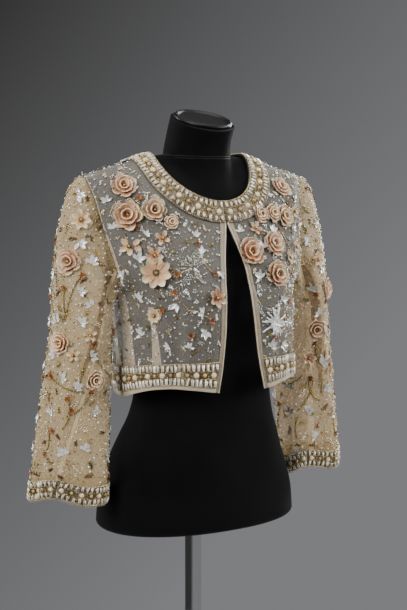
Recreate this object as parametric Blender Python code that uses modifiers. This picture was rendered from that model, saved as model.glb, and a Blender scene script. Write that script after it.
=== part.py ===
"""Cropped evening jacket of beaded silk organza, on a limbless dress form and its stand.

The wearer's front faces -Y and the wearer's right is at -X. The origin is under the middle
of the stand's foot. Heights on the garment are given as a drop below the shoulder tips.
"""
import math

import bmesh
import bpy
import numpy as np

# Sizes of the whole, in metres
SHOULDER_HEIGHT = 1.380
CLOTH = 0.0012
SEAM = 0.0003
SHOULDER_GAP = 0.0006
SLEEVE_GAP = 0.0012
SLEEVE_SEAM = 0.0009
NECK_HALF_WIDTH = 0.0875
NECK_POINT_DROP = -0.036
NECK_SIDE_Y = -0.008
FRONT_NECK_DROP = 0.040
BACK_NECK_DROP = -0.028
SHOULDER_HALF_WIDTH = 0.207
SHOULDER_SLOPE = (SHOULDER_HALF_WIDTH - NECK_HALF_WIDTH) / -NECK_POINT_DROP

# Share of a panel's width at which its top edge reaches the neck point, and of its side the underarm
FRONT_NECK_SHARE = 0.54
BACK_NECK_SHARE = 0.46
UNDERARM_SHARE = 0.46
PANEL_WIDTH = 0.25
NECK_WARP = 1.5
TOP_START = 0.25
HEM_END = 0.30

# Hem of the body: drop at centre front, at the side and at centre back, and its rise between
FRONT_HEM_DROP = 0.340
SIDE_HEM_DROP = 0.352
BACK_HEM_DROP = 0.346
FRONT_HEM_RISE = 0.014

# Cross sections of the worn body of the jacket, outside of the cloth
SECTION_COLUMNS = ("drop", "half_width", "side_y", "front_depth", "back_depth", "power", "bust")
SECTIONS = np.array([
    (-0.036, 0.0875, -0.008, 0.022, 0.060, 2.00, 0.000),
    (-0.018, 0.1472, -0.008, 0.034, 0.068, 2.00, 0.000),
    (0.000, 0.2070, -0.008, 0.048, 0.074, 2.00, 0.000),
    (0.020, 0.2065, -0.008, 0.065, 0.079, 2.02, 0.000),
    (0.040, 0.2055, -0.008, 0.080, 0.083, 2.05, 0.000),
    (0.072, 0.2020, -0.007, 0.092, 0.089, 2.10, 0.002),
    (0.112, 0.1960, -0.006, 0.108, 0.095, 2.20, 0.007),
    (0.150, 0.1830, -0.008, 0.118, 0.097, 2.35, 0.011),
    (0.170, 0.1700, -0.009, 0.121, 0.097, 2.45, 0.012),
    (0.187, 0.1585, -0.011, 0.123, 0.098, 2.55, 0.013),
    (0.230, 0.1545, -0.018, 0.121, 0.102, 2.55, 0.012),
    (0.290, 0.1520, -0.026, 0.116, 0.110, 2.45, 0.009),
    (0.360, 0.1500, -0.031, 0.115, 0.118, 2.40, 0.006),
])
BUST_X = 0.085
BUST_SPREAD = 0.048

# How far each front edge hangs from the centre, by drop
EDGE_COLUMNS = ("drop", "gap")
FRONT_EDGE = np.array([
    (0.040, 0.0004),
    (0.072, 0.0010),
    (0.092, 0.0055),
    (0.112, 0.0112),
    (0.148, 0.0192),
    (0.205, 0.0248),
    (0.250, 0.0287),
    (0.293, 0.0342),
    (0.345, 0.0445),
])

# Armhole, from the underarm to the shoulder tip
ARMHOLE_COLUMNS = ("share", "front_x", "front_drop", "back_x", "back_drop")
ARMHOLE = np.array([
    (0.00, 0.1585, 0.187, 0.1585, 0.187),
    (0.15, 0.1630, 0.176, 0.1640, 0.178),
    (0.30, 0.1730, 0.152, 0.1730, 0.156),
    (0.50, 0.1840, 0.112, 0.1840, 0.116),
    (0.70, 0.1930, 0.069, 0.1930, 0.071),
    (0.85, 0.2000, 0.031, 0.2000, 0.032),
    (1.00, 0.2070, 0.000, 0.2070, 0.000),
])

# Sleeve below the armhole: centre, half widths across and front to back, and turn of its section
SLEEVE_TOP_DROP = 0.212
SLEEVE_COLUMNS = ("drop", "centre_x", "centre_y", "half_across", "half_deep", "turn")
SLEEVE = np.array([
    (0.212, 0.2130, -0.008, 0.0460, 0.0560, 0.0),
    (0.260, 0.2160, -0.008, 0.0500, 0.0530, 6.0),
    (0.350, 0.2240, -0.008, 0.0570, 0.0480, 14.0),
    (0.440, 0.2330, -0.010, 0.0620, 0.0460, 18.0),
    (0.530, 0.2400, -0.008, 0.0645, 0.0450, 20.0),
])
SLEEVE_HEM_DROP = 0.517
SLEEVE_HEM_TILT = 0.004
SLEEVE_HEM_RISE = 0.012
CUFF_DENT = 0.007
DENT_SPREAD = 32.0
CAP_SHARE = 0.36
TURN_SHARE = {"right": 1.0, "left": 0.6}

# Seams of the sleeve, in degrees round it from the outer side by way of the front
SEAM_COLUMNS = ("share", "front_right", "front_left")
FRONT_SEAM = np.array([
    (0.00, 124.0, 122.0),
    (0.35, 112.0, 118.0),
    (0.65, 92.0, 124.0),
    (1.00, 62.0, 128.0),
])
BACK_SEAM = -82.0

# Beaded borders
BAND_BASE = 0.0010
STONE_RISE = 0.0028
STONE_PITCH = 0.0132
NECK_BAND = 0.035
NECK_FRONT_LENGTH = 0.160
NECK_BACK_LENGTH = 0.230
HEM_BAND = 0.043
HEM_EDGE = 0.007
HEM_FRONT_LENGTH = 0.175
HEM_BACK_LENGTH = 0.400
CUFF_BAND = 0.030
CUFF_EDGE = 0.003
CUFF_ROUND = 0.330
SLEEVE_LENGTH = 0.470
BAND_GAP = 0.0006
BINDING = 0.006
BINDING_RISE = 0.0008

# Roses and other thick flowers on the fronts, clear of the neck border and the binding:
# distance from the centre, drop, radius and rise
NECK_CLEAR = 1.12
FLOWER_FADE = 0.10
EDGE_CLEAR = 0.022
EDGE_FADE = 0.010
RIGHT_FLOWERS = np.array([
    (0.156, 0.012, 0.019, 0.0040),
    (0.150, 0.058, 0.023, 0.0045),
    (0.103, 0.053, 0.020, 0.0045),
    (0.104, 0.152, 0.025, 0.0045),
    (0.116, 0.222, 0.010, 0.0025),
])
LEFT_FLOWERS = np.array([
    (0.060, 0.120, 0.024, 0.0045),
    (0.098, 0.158, 0.022, 0.0045),
    (0.118, 0.110, 0.020, 0.0040),
    (0.140, 0.062, 0.021, 0.0040),
    (0.108, 0.022, 0.018, 0.0035),
])

# Dress form, inside the jacket and below it; its shoulders follow the jacket's own sections
FORM_CLEARANCE = 0.0027
FORM_INSET = 0.006
FORM_SHOULDER = 0.2000
FORM_COLUMNS = ("drop", "half_width", "front_y", "back_y", "power")
FORM_SECTIONS = np.array([
    (0.040, 0.1985, -0.0820, 0.0690, 2.05),
    (0.072, 0.1930, -0.0905, 0.0750, 2.10),
    (0.112, 0.1840, -0.1040, 0.0800, 2.20),
    (0.150, 0.1690, -0.1150, 0.0800, 2.30),
    (0.187, 0.1470, -0.1220, 0.0770, 2.30),
    (0.230, 0.1360, -0.1210, 0.0720, 2.20),
    (0.290, 0.1260, -0.1180, 0.0640, 2.10),
    (0.350, 0.1205, -0.1180, 0.0600, 2.05),
    (0.390, 0.1280, -0.1170, 0.0700, 2.05),
    (0.430, 0.1430, -0.1180, 0.0870, 2.10),
    (0.480, 0.1620, -0.1210, 0.1030, 2.10),
    (0.530, 0.1750, -0.1240, 0.1110, 2.15),
    (0.566, 0.1780, -0.1250, 0.1120, 2.15),
])
MIDDLE_COLUMNS = ("drop", "middle_y")
FORM_MIDDLE = np.array([
    (0.150, -0.008),
    (0.300, -0.028),
    (0.360, -0.028),
    (0.460, -0.010),
])
FORM_TOP_DROP = -0.030
FORM_BOTTOM_DROP = 0.575
FORM_BOTTOM_ROUND = 0.009
NECK_COLUMNS = ("drop", "radius", "centre_y", "tilt")
NECK_SECTIONS = np.array([
    (-0.0890, 0.0525, -0.0300, 0.34),
    (-0.0620, 0.0535, -0.0180, 0.20),
    (-0.0360, 0.0555, -0.0110, 0.06),
    (-0.0100, 0.0575, -0.0090, 0.00),
    (0.0050, 0.0600, -0.0100, 0.00),
    (0.0200, 0.0635, -0.0130, 0.00),
    (0.0400, 0.0660, -0.0165, 0.00),
])
NECK_BLEND = 20
FORM_DROPS = (
    0.566, 0.530, 0.500, 0.470, 0.440, 0.410, 0.385, 0.355, 0.320, 0.280, 0.240, 0.205, 0.180, 0.150,
    0.115, 0.080, 0.050, 0.025, 0.008, -0.002, -0.010, -0.018, -0.026, -0.034, -0.044, -0.060, -0.075, -0.089,
)
CAP_RADIUS = 0.0480
CAP_THICK = 0.0060
CAP_HOLLOW = 0.0030
CAP_RIM = 0.0070

# Stand
POLE_RADIUS = 0.0140
BASE_RADIUS = 0.1800
BASE_HEIGHT = 0.0120
BASE_ROUND = 0.0040
BOSS_RADIUS = 0.0240
BOSS_HEIGHT = 0.0400
SOCKET_FLOOR = 0.0080
STAND_STEPS = 40

# Grid of each panel: columns to the neck point, columns on to the side, rows; sleeves: columns, rows
FRONT_GRID = (8, 8, 27)
BACK_GRID = (6, 7, 24)
UPPER_SLEEVE_GRID = (14, 20)
UNDER_SLEEVE_GRID = (8, 20)
BAND_ROWS = 4
BINDING_GRID = (3, 18)
FORM_SEGMENTS = 32
ROW_WARP = 1.35
BODY_AXIS = (0.0, -0.02)
SLEEVE_AXIS = (0.222, -0.008)


def smooth_value(table, columns, name, at):
    """Read one column of a table at the given key by a smooth curve with no overshoot."""
    keys = table[:, 0]
    values = table[:, columns.index(name)]
    steps = np.diff(values) / np.diff(keys)
    slopes = np.zeros(len(keys))
    slopes[0] = steps[0]
    slopes[-1] = steps[-1]
    product = steps[1:] * steps[:-1]
    total = steps[1:] + steps[:-1]
    slopes[1:-1] = np.where(product > 0, 2 * product / np.where(product > 0, total, 1), 0)
    at = np.asarray(at, dtype=float)
    left = np.clip(np.searchsorted(keys, at) - 1, 0, len(keys) - 2)
    width = keys[left + 1] - keys[left]
    t = np.clip((at - keys[left]) / width, 0, 1)
    start = (1 + 2 * t) * (1 - t) ** 2 * values[left] + t * (1 - t) ** 2 * width * slopes[left]
    end = t ** 2 * (3 - 2 * t) * values[left + 1] - t ** 2 * (1 - t) * width * slopes[left + 1]
    return start + end


def mix(a, b, t):
    return a + (b - a) * t


def section(name, drop):
    return smooth_value(SECTIONS, SECTION_COLUMNS, name, drop)


def half_width(drop):
    """Half width of the body; above the shoulder tips it follows the shoulder line."""
    above = SHOULDER_HALF_WIDTH + SHOULDER_SLOPE * np.minimum(drop, 0)
    return np.where(drop < 0, above, section("half_width", np.maximum(drop, 0)))


def turn_of(x, drop):
    """Angle round the body, from the centre line to the side, of a point at this x and drop."""
    share = np.clip(x / half_width(drop), 0, 1)
    return np.arcsin(share ** (section("power", drop) / 2))


def body_point(turn, drop, face):
    """Point of the outside of the left half of the body; face is -1 for front and 1 for back."""
    power = 2 / section("power", drop)
    depth = section("front_depth", drop) if face < 0 else section("back_depth", drop)
    x = half_width(drop) * np.sin(turn) ** power
    cosine = np.maximum(np.cos(turn), 0) ** power
    y = section("side_y", drop) + face * depth * cosine
    if face < 0:
        y = y - section("bust", drop) * np.exp(-((x - BUST_X) / BUST_SPREAD) ** 2) * np.sqrt(cosine)
    return np.stack([x, y, SHOULDER_HEIGHT - drop], axis=-1)


def armhole(share, face):
    side = "front" if face < 0 else "back"
    x = smooth_value(ARMHOLE, ARMHOLE_COLUMNS, side + "_x", share)
    drop = smooth_value(ARMHOLE, ARMHOLE_COLUMNS, side + "_drop", share)
    return turn_of(x, drop), drop


def neckline(share, face):
    """Angle, distance from the centre and drop of the neckline; share 1 is the shoulder seam."""
    angle = (1 - (1 - np.clip(share, 0, 1)) ** NECK_WARP) * math.pi / 2
    centre_drop = FRONT_NECK_DROP if face < 0 else BACK_NECK_DROP
    return angle, NECK_HALF_WIDTH * np.sin(angle), mix(NECK_POINT_DROP, centre_drop, np.cos(angle))


def edge_gap(drop, face):
    return smooth_value(FRONT_EDGE, EDGE_COLUMNS, "gap", drop) if face < 0 else 0 * drop


def inner_edge(v, face):
    """Turn and drop of a panel's edge at the centre, for a share v of its height."""
    low, high = (FRONT_HEM_DROP, FRONT_NECK_DROP) if face < 0 else (BACK_HEM_DROP, BACK_NECK_DROP)
    drop = mix(low, high, v)
    return turn_of(edge_gap(drop, face), drop), drop


def outer_edge(v, face):
    """Turn and drop of a panel's edge at the side and armhole."""
    low_drop = mix(SIDE_HEM_DROP, ARMHOLE[0, 2], np.minimum(v / UNDERARM_SHARE, 1))
    arm_turn, arm_drop = armhole(np.clip((v - UNDERARM_SHARE) / (1 - UNDERARM_SHARE), 0, 1), face)
    above = v > UNDERARM_SHARE
    return np.where(above, arm_turn, math.pi / 2), np.where(above, arm_drop, low_drop)


def top_edge(u, face):
    """Turn and drop of a panel's top: the neckline from the centre, then the shoulder seam."""
    neck_share = FRONT_NECK_SHARE if face < 0 else BACK_NECK_SHARE
    angle, x, drop = neckline(u / neck_share, face)
    turn = turn_of(x + edge_gap(drop, face) * np.cos(angle), drop)
    seam_drop = mix(NECK_POINT_DROP, 0, (u - neck_share) / (1 - neck_share))
    on_seam = u >= neck_share
    return np.where(on_seam, math.pi / 2, turn), np.where(on_seam, seam_drop, drop)


def panel(u, v, face):
    """Point of the left front or back: u from its centre to its side, v from the hem to its top."""
    inner_turn, inner_drop = inner_edge(v, face)
    outer_turn, outer_drop = outer_edge(v, face)
    top_turn, top_drop = top_edge(u, face)
    first_turn, first_drop = top_edge(0 * u, face)
    last_turn, last_drop = top_edge(0 * u + 1, face)
    high = np.clip((v - TOP_START) / (1 - TOP_START), 0, 1) ** 2
    low = np.clip(1 - v / HEM_END, 0, 1) ** 2
    rise = FRONT_HEM_RISE * np.sin(math.pi * u) * low if face < 0 else 0
    turn = mix(inner_turn, outer_turn, u) + high * (top_turn - mix(first_turn, last_turn, u))
    drop = mix(inner_drop, outer_drop, u) + high * (top_drop - mix(first_drop, last_drop, u)) - rise
    return body_point(np.clip(turn, 0, math.pi / 2), drop, face)


def sleeve_point(degrees, w, side):
    """Point of the left sleeve: degrees round it from its outer side by the front, w down its length."""
    angle = np.radians(degrees)
    outness = np.cos(angle)
    frontness = np.sin(angle)
    share = np.abs(np.mod(degrees + 180, 360) - 180) / 180
    front_turn, front_drop = armhole(1 - share, -1)
    back_turn, back_drop = armhole(1 - share, 1)
    front = (frontness >= 0)[..., None]
    start = np.where(front, body_point(front_turn, front_drop, -1), body_point(back_turn, back_drop, 1))

    down = np.clip((w - CAP_SHARE) / (1 - CAP_SHARE), 0, 1)
    seam_end = FRONT_SEAM[-1, SEAM_COLUMNS.index("front_" + side)]
    from_seam = np.mod(degrees - seam_end + 180, 360) - 180
    facing = np.exp(-(from_seam / DENT_SPREAD) ** 2)
    hem = SLEEVE_HEM_DROP - SLEEVE_HEM_TILT * outness - SLEEVE_HEM_RISE * facing
    drop = mix(SLEEVE_TOP_DROP, hem, down)
    row = {name: smooth_value(SLEEVE, SLEEVE_COLUMNS, name, drop) for name in SLEEVE_COLUMNS[1:]}
    turn = np.radians(row["turn"] * TURN_SHARE[side])
    dent = CUFF_DENT * facing * down ** 3
    across = row["half_across"] * outness
    deep = (row["half_deep"] - dent) * frontness
    x = row["centre_x"] + across * np.cos(turn) + deep * np.sin(turn)
    y = row["centre_y"] - deep * np.cos(turn) + across * np.sin(turn)
    ring = np.stack([x, y, SHOULDER_HEIGHT - drop], axis=-1)

    t = np.clip(w / CAP_SHARE, 0, 1)
    topness = ((1 + outness) / 2) ** 1.5
    outward = mix(t, np.sin(t * math.pi / 2) ** 0.8, topness)[..., None]
    downward = mix(t, 1 - np.cos(t * math.pi / 2), topness)
    cap = start + (ring - start) * outward
    cap[..., 2] = start[..., 2] + (ring[..., 2] - start[..., 2]) * downward
    return np.where((w <= CAP_SHARE)[..., None], cap, ring)


def front_seam(side):
    """Where the front seam of a sleeve is, as a function of the share down it."""
    return lambda v: smooth_value(FRONT_SEAM, SEAM_COLUMNS, "front_" + side, v)


def back_seam(v):
    return BACK_SEAM + 0 * v


def front_surface(u, v):
    return panel(u, v, -1)


def back_surface(u, v):
    """The whole back: a share u below zero is its right half."""
    points = panel(np.abs(u), v, 1)
    points[..., 0] *= np.where(u < 0, -1, 1)
    return points


def sleeve_surface(side, start, end):
    """Part of a sleeve between two seams; each seam is a function of the share down the sleeve."""
    def surface(u, v):
        return sleeve_point(mix(start(v), end(v), u), v, side)
    return surface


def neck_surface(face):
    """Strip along the neckline: u from the centre to the shoulder, v from the neck outward."""
    def surface(u, v):
        sign = np.where(u < 0, -1, 1) if face > 0 else 1
        angle, x, drop = neckline(np.abs(u), face)
        x = x + NECK_BAND * v * np.sin(angle)
        drop = drop + v * NECK_BAND * mix(1 / SHOULDER_SLOPE, 1, np.cos(angle))
        x = x + edge_gap(drop, face) * np.cos(angle)
        turn = np.where(np.abs(u) >= 1, math.pi / 2, turn_of(x, drop))
        points = body_point(turn, drop, face)
        points[..., 0] *= sign
        return points
    return surface


def raised(surface, u, v, rise, axis, low=0.0):
    """Points of a surface moved off it by a rise; a rise below zero goes inside the cloth."""
    step = 0.0008
    points = surface(u, v)
    along = surface(np.clip(u + step, low, 1), v) - surface(np.clip(u - step, low, 1), v)
    up = surface(u, np.clip(v + step, 0, 1)) - surface(u, np.clip(v - step, 0, 1))
    normals = np.cross(along, up)
    normals /= np.linalg.norm(normals, axis=-1, keepdims=True)
    away = points[..., 0] - axis[0], points[..., 1] - axis[1]
    outward = np.mean(normals[..., 0] * away[0] + normals[..., 1] * away[1])
    return points + normals * np.sign(outward) * np.asarray(rise)[..., None]


def mirrored(points, side):
    return points * np.array([-1.0, 1.0, 1.0]) if side == "right" else points


def material(name, colour, roughness, metallic=0.0):
    made = bpy.data.materials.get(name) or bpy.data.materials.new(name)
    made.use_nodes = True
    shader = made.node_tree.nodes["Principled BSDF"]
    shader.inputs["Base Color"].default_value = (*colour, 1)
    shader.inputs["Roughness"].default_value = roughness
    shader.inputs["Metallic"].default_value = metallic
    return made


def finish(name, mesh_data, finish_material, collection):
    """Put a bmesh in the scene as a named object."""
    bmesh.ops.recalc_face_normals(mesh_data, faces=mesh_data.faces)
    if mesh_data.calc_volume(signed=True) < 0:
        bmesh.ops.reverse_faces(mesh_data, faces=mesh_data.faces)
    mesh = bpy.data.meshes.new(name)
    mesh_data.to_mesh(mesh)
    mesh_data.free()
    mesh.shade_smooth()
    mesh.set_sharp_from_angle(angle=math.radians(40))
    mesh.materials.append(finish_material)
    made = bpy.data.objects.new(name, mesh)
    collection.objects.link(made)
    return made


def wall(name, outside, inside, finish_material, collection):
    """Closed wall between two grids of points of the same size."""
    rows, columns = outside.shape[:2]
    shell = bmesh.new()
    bmesh.ops.create_grid(shell, x_segments=columns - 1, y_segments=rows - 1, size=0.5)
    order = shell.verts.layers.int.new("order")
    for vert in shell.verts:
        column = round((vert.co.x + 0.5) * (columns - 1))
        row = round((vert.co.y + 0.5) * (rows - 1))
        vert[order] = row * columns + column
    made = bmesh.ops.extrude_face_region(shell, geom=shell.faces[:], use_keep_orig=True)
    inner = {item for item in made["geom"] if isinstance(item, bmesh.types.BMVert)}
    outer_points = outside.reshape(-1, 3)
    inner_points = inside.reshape(-1, 3)
    for vert in shell.verts:
        points = inner_points if vert in inner else outer_points
        vert.co = points[vert[order]]
    return finish(name, shell, finish_material, collection)


def sheet_between(name, surface, u, v, heights, axis, side, look, low=0.0):
    """Closed wall over part of a surface, between its under and its upper height."""
    under, upper = heights
    outside = raised(surface, u, v, upper + 0 * u, axis, low)
    inside = raised(surface, u, v, under + 0 * u, axis, low)
    return wall(name, mirrored(outside, side), mirrored(inside, side), *look)


def flower_rise(points, flowers):
    """Rise of the thick flowers over the points of a front; none under its borders and binding."""
    rise = np.zeros(points.shape[:-1])
    for x, drop, radius, height in flowers:
        middle = body_point(turn_of(x, drop), np.asarray(drop), -1)
        away = np.linalg.norm(points - middle, axis=-1) / radius
        rise = np.maximum(rise, height * np.clip((1.35 - away) / 0.55, 0, 1))
    top = NECK_POINT_DROP + NECK_BAND / SHOULDER_SLOPE
    across = points[..., 0] / (NECK_HALF_WIDTH + NECK_BAND)
    down = (SHOULDER_HEIGHT - points[..., 2] - top) / (FRONT_NECK_DROP + NECK_BAND - top)
    below_neck = np.clip((np.hypot(across, down) - NECK_CLEAR) / FLOWER_FADE, 0, 1)
    beside = points[..., 0] - edge_gap(SHOULDER_HEIGHT - points[..., 2], -1) - EDGE_CLEAR
    return rise * below_neck * np.clip(beside / EDGE_FADE, 0, 1)


def panel_shares(grid, face):
    """Grid of shares u and v for half a panel, with a column at the neck point and closer rows on top."""
    to_neck, to_side, rows = grid
    neck_share = FRONT_NECK_SHARE if face < 0 else BACK_NECK_SHARE
    last = 1 - SEAM / 2 / PANEL_WIDTH
    u = np.append(np.linspace(0, neck_share, to_neck)[:-1], np.linspace(neck_share, last, to_side))
    v = 1 - (1 - np.linspace(0, 1, rows)) ** ROW_WARP
    return u, v * (1 - SHOULDER_GAP)


def make_body_panels(look):
    """The two fronts, with their thick flowers, and the back."""
    for side, flowers in (("right", RIGHT_FLOWERS), ("left", LEFT_FLOWERS)):
        u, v = np.meshgrid(*panel_shares(FRONT_GRID, -1))
        rise = flower_rise(front_surface(u, v), flowers)
        sheet_between("front_" + side, front_surface, u, v, (-CLOTH, rise), BODY_AXIS, side, look)
    half, v = panel_shares(BACK_GRID, 1)
    u, v = np.meshgrid(np.append(-half[:0:-1], half), v)
    sheet_between("back", back_surface, u, v, (-CLOTH, 0), BODY_AXIS, "left", look, -1)


def make_sleeves(look):
    """Upper and under sleeve on each side, between the front and the back seam."""
    for side in ("right", "left"):
        front = front_seam(side)
        parts = (
            ("upper", back_seam, front, UPPER_SLEEVE_GRID),
            ("under", front, lambda v: back_seam(v) + 360, UNDER_SLEEVE_GRID),
        )
        for part, start, end, grid in parts:
            u, v = np.meshgrid(
                np.linspace(SLEEVE_SEAM, 1 - SLEEVE_SEAM, grid[0]),
                np.linspace(SLEEVE_GAP, 1, grid[1]),
            )
            surface = sleeve_surface(side, start, end)
            sheet_between(f"sleeve_{part}_{side}", surface, u, v, (-CLOTH, 0), SLEEVE_AXIS, side, look)


def band_shares(length, first, last):
    """Grid of shares for a band, with a column at and between its stones, and their rises."""
    stones = round(length / STONE_PITCH)
    along, across = np.meshgrid(np.linspace(first, last, 2 * stones + 1), np.linspace(0, 1, BAND_ROWS))
    column = np.arange(2 * stones + 1)
    row = np.arange(BAND_ROWS)[:, None]
    middle = (row == BAND_ROWS // 2) | (row == (BAND_ROWS - 1) // 2)
    rise = np.where(middle & (column % 2 == 1), STONE_RISE, 0.0)
    return along, across, BAND_GAP + BAND_BASE + rise


def hem_share(u, face, height):
    """Share up a panel that lies at a height above its hem."""
    centre = FRONT_HEM_DROP - FRONT_NECK_DROP if face < 0 else BACK_HEM_DROP - BACK_NECK_DROP
    side = SIDE_HEM_DROP - ARMHOLE[0, 2]
    return height * mix(1 / centre, UNDERARM_SHARE / side, np.abs(u))


def make_bands(look):
    """Beaded borders of the neck, the hem and the cuffs, with their large stones raised."""
    under = BAND_GAP
    for side in ("right", "left"):
        first = (BINDING + SEAM) / HEM_FRONT_LENGTH
        u, across, upper = band_shares(HEM_FRONT_LENGTH, first, 1 - SEAM / HEM_FRONT_LENGTH)
        v = hem_share(u, -1, HEM_EDGE + HEM_BAND * across)
        sheet_between("hem_band_" + side, front_surface, u, v, (under, upper), BODY_AXIS, side, look)

        u, across, upper = band_shares(NECK_FRONT_LENGTH, 0, 1 - SEAM / NECK_FRONT_LENGTH)
        sheet_between("neck_band_" + side, neck_surface(-1), u, across, (under, upper), BODY_AXIS, side, look)

        front = front_seam(side)
        surface = sleeve_surface(side, front, lambda v, front=front: front(v) + 360)
        u, across, upper = band_shares(CUFF_ROUND, SEAM / CUFF_ROUND, 1 - SEAM / CUFF_ROUND)
        v = 1 - (CUFF_EDGE + CUFF_BAND * (1 - across)) / SLEEVE_LENGTH
        sheet_between("cuff_band_" + side, surface, u, v, (under, upper), SLEEVE_AXIS, side, look)

    last = 1 - 2 * SEAM / HEM_BACK_LENGTH
    u, across, upper = band_shares(HEM_BACK_LENGTH, -last, last)
    v = hem_share(u, 1, HEM_EDGE + HEM_BAND * across)
    sheet_between("hem_band_back", back_surface, u, v, (under, upper), BODY_AXIS, "left", look, -1)
    last = 1 - 2 * SEAM / NECK_BACK_LENGTH
    u, across, upper = band_shares(NECK_BACK_LENGTH, -last, last)
    sheet_between("neck_band_back", neck_surface(1), u, across, (under, upper), BODY_AXIS, "left", look, -1)


def make_bindings(look):
    """Narrow turned edge down each front, from the hem to the neck border."""
    top = hem_share(0, -1, FRONT_HEM_DROP - FRONT_NECK_DROP - NECK_BAND - 2 * SEAM)
    for side in ("right", "left"):
        u, v = np.meshgrid(
            np.linspace(0, BINDING / HEM_FRONT_LENGTH, BINDING_GRID[0]),
            np.linspace(0, top, BINDING_GRID[1]),
        )
        heights = (BAND_GAP, BAND_GAP + BINDING_RISE)
        sheet_between("front_binding_" + side, front_surface, u, v, heights, BODY_AXIS, side, look)


def rounded_radius(turns, half_width, front, back, power):
    """Distance from the middle of a rounded section to its edge, at each turn from the front."""
    across = np.abs(np.sin(turns)) / half_width
    depth = np.where(np.cos(turns) > 0, front, back)
    along = np.abs(np.cos(turns)) / depth
    return (across ** power + along ** power) ** (-1 / power)


def form_ring(drop):
    """Ring of the dress form at a drop: its body and its neck, blended where both are there."""
    turns = np.linspace(0, 2 * math.pi, FORM_SEGMENTS, endpoint=False)
    middle = NECK_SIDE_Y
    body = np.zeros(FORM_SEGMENTS)
    if drop >= FORM_SECTIONS[0, 0]:
        row = {name: smooth_value(FORM_SECTIONS, FORM_COLUMNS, name, drop) for name in FORM_COLUMNS[1:]}
        middle = smooth_value(FORM_MIDDLE, MIDDLE_COLUMNS, "middle_y", drop)
        front = middle - row["front_y"]
        back = row["back_y"] - middle
        body = rounded_radius(turns, row["half_width"], front, back, row["power"])
    elif drop > FORM_TOP_DROP:
        inset = mix(FORM_CLEARANCE, FORM_INSET, np.clip(drop / FORM_SECTIONS[0, 0], 0, 1))
        at = drop - FORM_CLEARANCE
        front = section("front_depth", at) - inset
        back = section("back_depth", at) - inset
        wide = np.minimum(half_width(at) - inset, FORM_SHOULDER)
        body = rounded_radius(turns, wide, front, back, section("power", at))
    points = np.stack([body * np.sin(turns), middle - body * np.cos(turns)], axis=-1)
    height = np.full(FORM_SEGMENTS, SHOULDER_HEIGHT - drop)
    if drop < NECK_SECTIONS[-1, 0]:
        neck = {name: smooth_value(NECK_SECTIONS, NECK_COLUMNS, name, drop) for name in NECK_COLUMNS[1:]}
        off = neck["centre_y"] - middle
        along = -off * np.cos(turns)
        around = along + np.sqrt(neck["radius"] ** 2 - off ** 2 + along ** 2)
        both = (around ** NECK_BLEND + body ** NECK_BLEND) ** (1 / NECK_BLEND)
        points = np.stack([both * np.sin(turns), middle - both * np.cos(turns)], axis=-1)
        height = height + neck["tilt"] * (points[:, 1] - neck["centre_y"])
    return np.column_stack([points, height])


def make_dress_form(jersey, gloss, collection):
    """Torso and neck as one loft of rings from the flat underside up, and the neck's cap."""
    bottom = form_ring(FORM_DROPS[0])
    share = 1 - FORM_BOTTOM_ROUND / np.linalg.norm(bottom[:, :2], axis=1, keepdims=True)
    bottom[:, :2] *= share
    bottom[:, 2] = SHOULDER_HEIGHT - FORM_BOTTOM_DROP
    rings = [bottom] + [form_ring(drop) for drop in FORM_DROPS]

    loft = bmesh.new()
    place = loft.verts.layers.int.new("place")
    bmesh.ops.create_circle(loft, cap_ends=True, segments=FORM_SEGMENTS, radius=1)
    for number, vert in enumerate(loft.verts):
        vert[place] = number
        vert.co = rings[0][number]
    edges = loft.edges[:]
    for points in rings[1:]:
        made = bmesh.ops.extrude_edge_only(loft, edges=edges)["geom"]
        ring = [item for item in made if isinstance(item, bmesh.types.BMVert)]
        edges = [item for item in made if isinstance(item, bmesh.types.BMEdge)]
        for vert in ring:
            vert.co = points[vert[place]]
    bmesh.ops.contextual_create(loft, geom=edges)
    finish("form_torso", loft, jersey, collection)

    top = {name: NECK_SECTIONS[0, NECK_COLUMNS.index(name)] for name in NECK_COLUMNS}
    cap = turned("form_cap", (
        (0.0, CAP_THICK - CAP_HOLLOW),
        (CAP_RADIUS - CAP_RIM, CAP_THICK - CAP_HOLLOW),
        (CAP_RADIUS - 0.6 * CAP_RIM, CAP_THICK),
        (CAP_RADIUS - 0.2 * CAP_RIM, CAP_THICK * 0.9),
        (CAP_RADIUS, CAP_THICK * 0.5),
        (CAP_RADIUS, 0.0),
        (0.0, 0.0),
    ), gloss, collection)
    lean = math.atan(top["tilt"])
    cap.rotation_euler = (lean, 0, 0)
    seat = np.array([0, top["centre_y"], SHOULDER_HEIGHT - top["drop"]])
    cap.location = seat + SEAM * np.array([0, -math.sin(lean), math.cos(lean)])


def turned(name, profile, look, collection):
    """Round piece from its profile of radius and height, listed from the top down its outer side."""
    mesh = bpy.data.meshes.new(name)
    corners = [(radius, 0, height) for radius, height in profile]
    mesh.from_pydata(corners, [(i, i + 1) for i in range(len(corners) - 1)], [])
    made = bpy.data.objects.new(name, mesh)
    collection.objects.link(made)
    screw = made.modifiers.new("turn", "SCREW")
    screw.steps = screw.render_steps = STAND_STEPS
    screw.use_merge_vertices = True
    screw.merge_threshold = 0.0001
    screw.use_smooth_shade = True
    mesh.materials.append(look)
    return made


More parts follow.
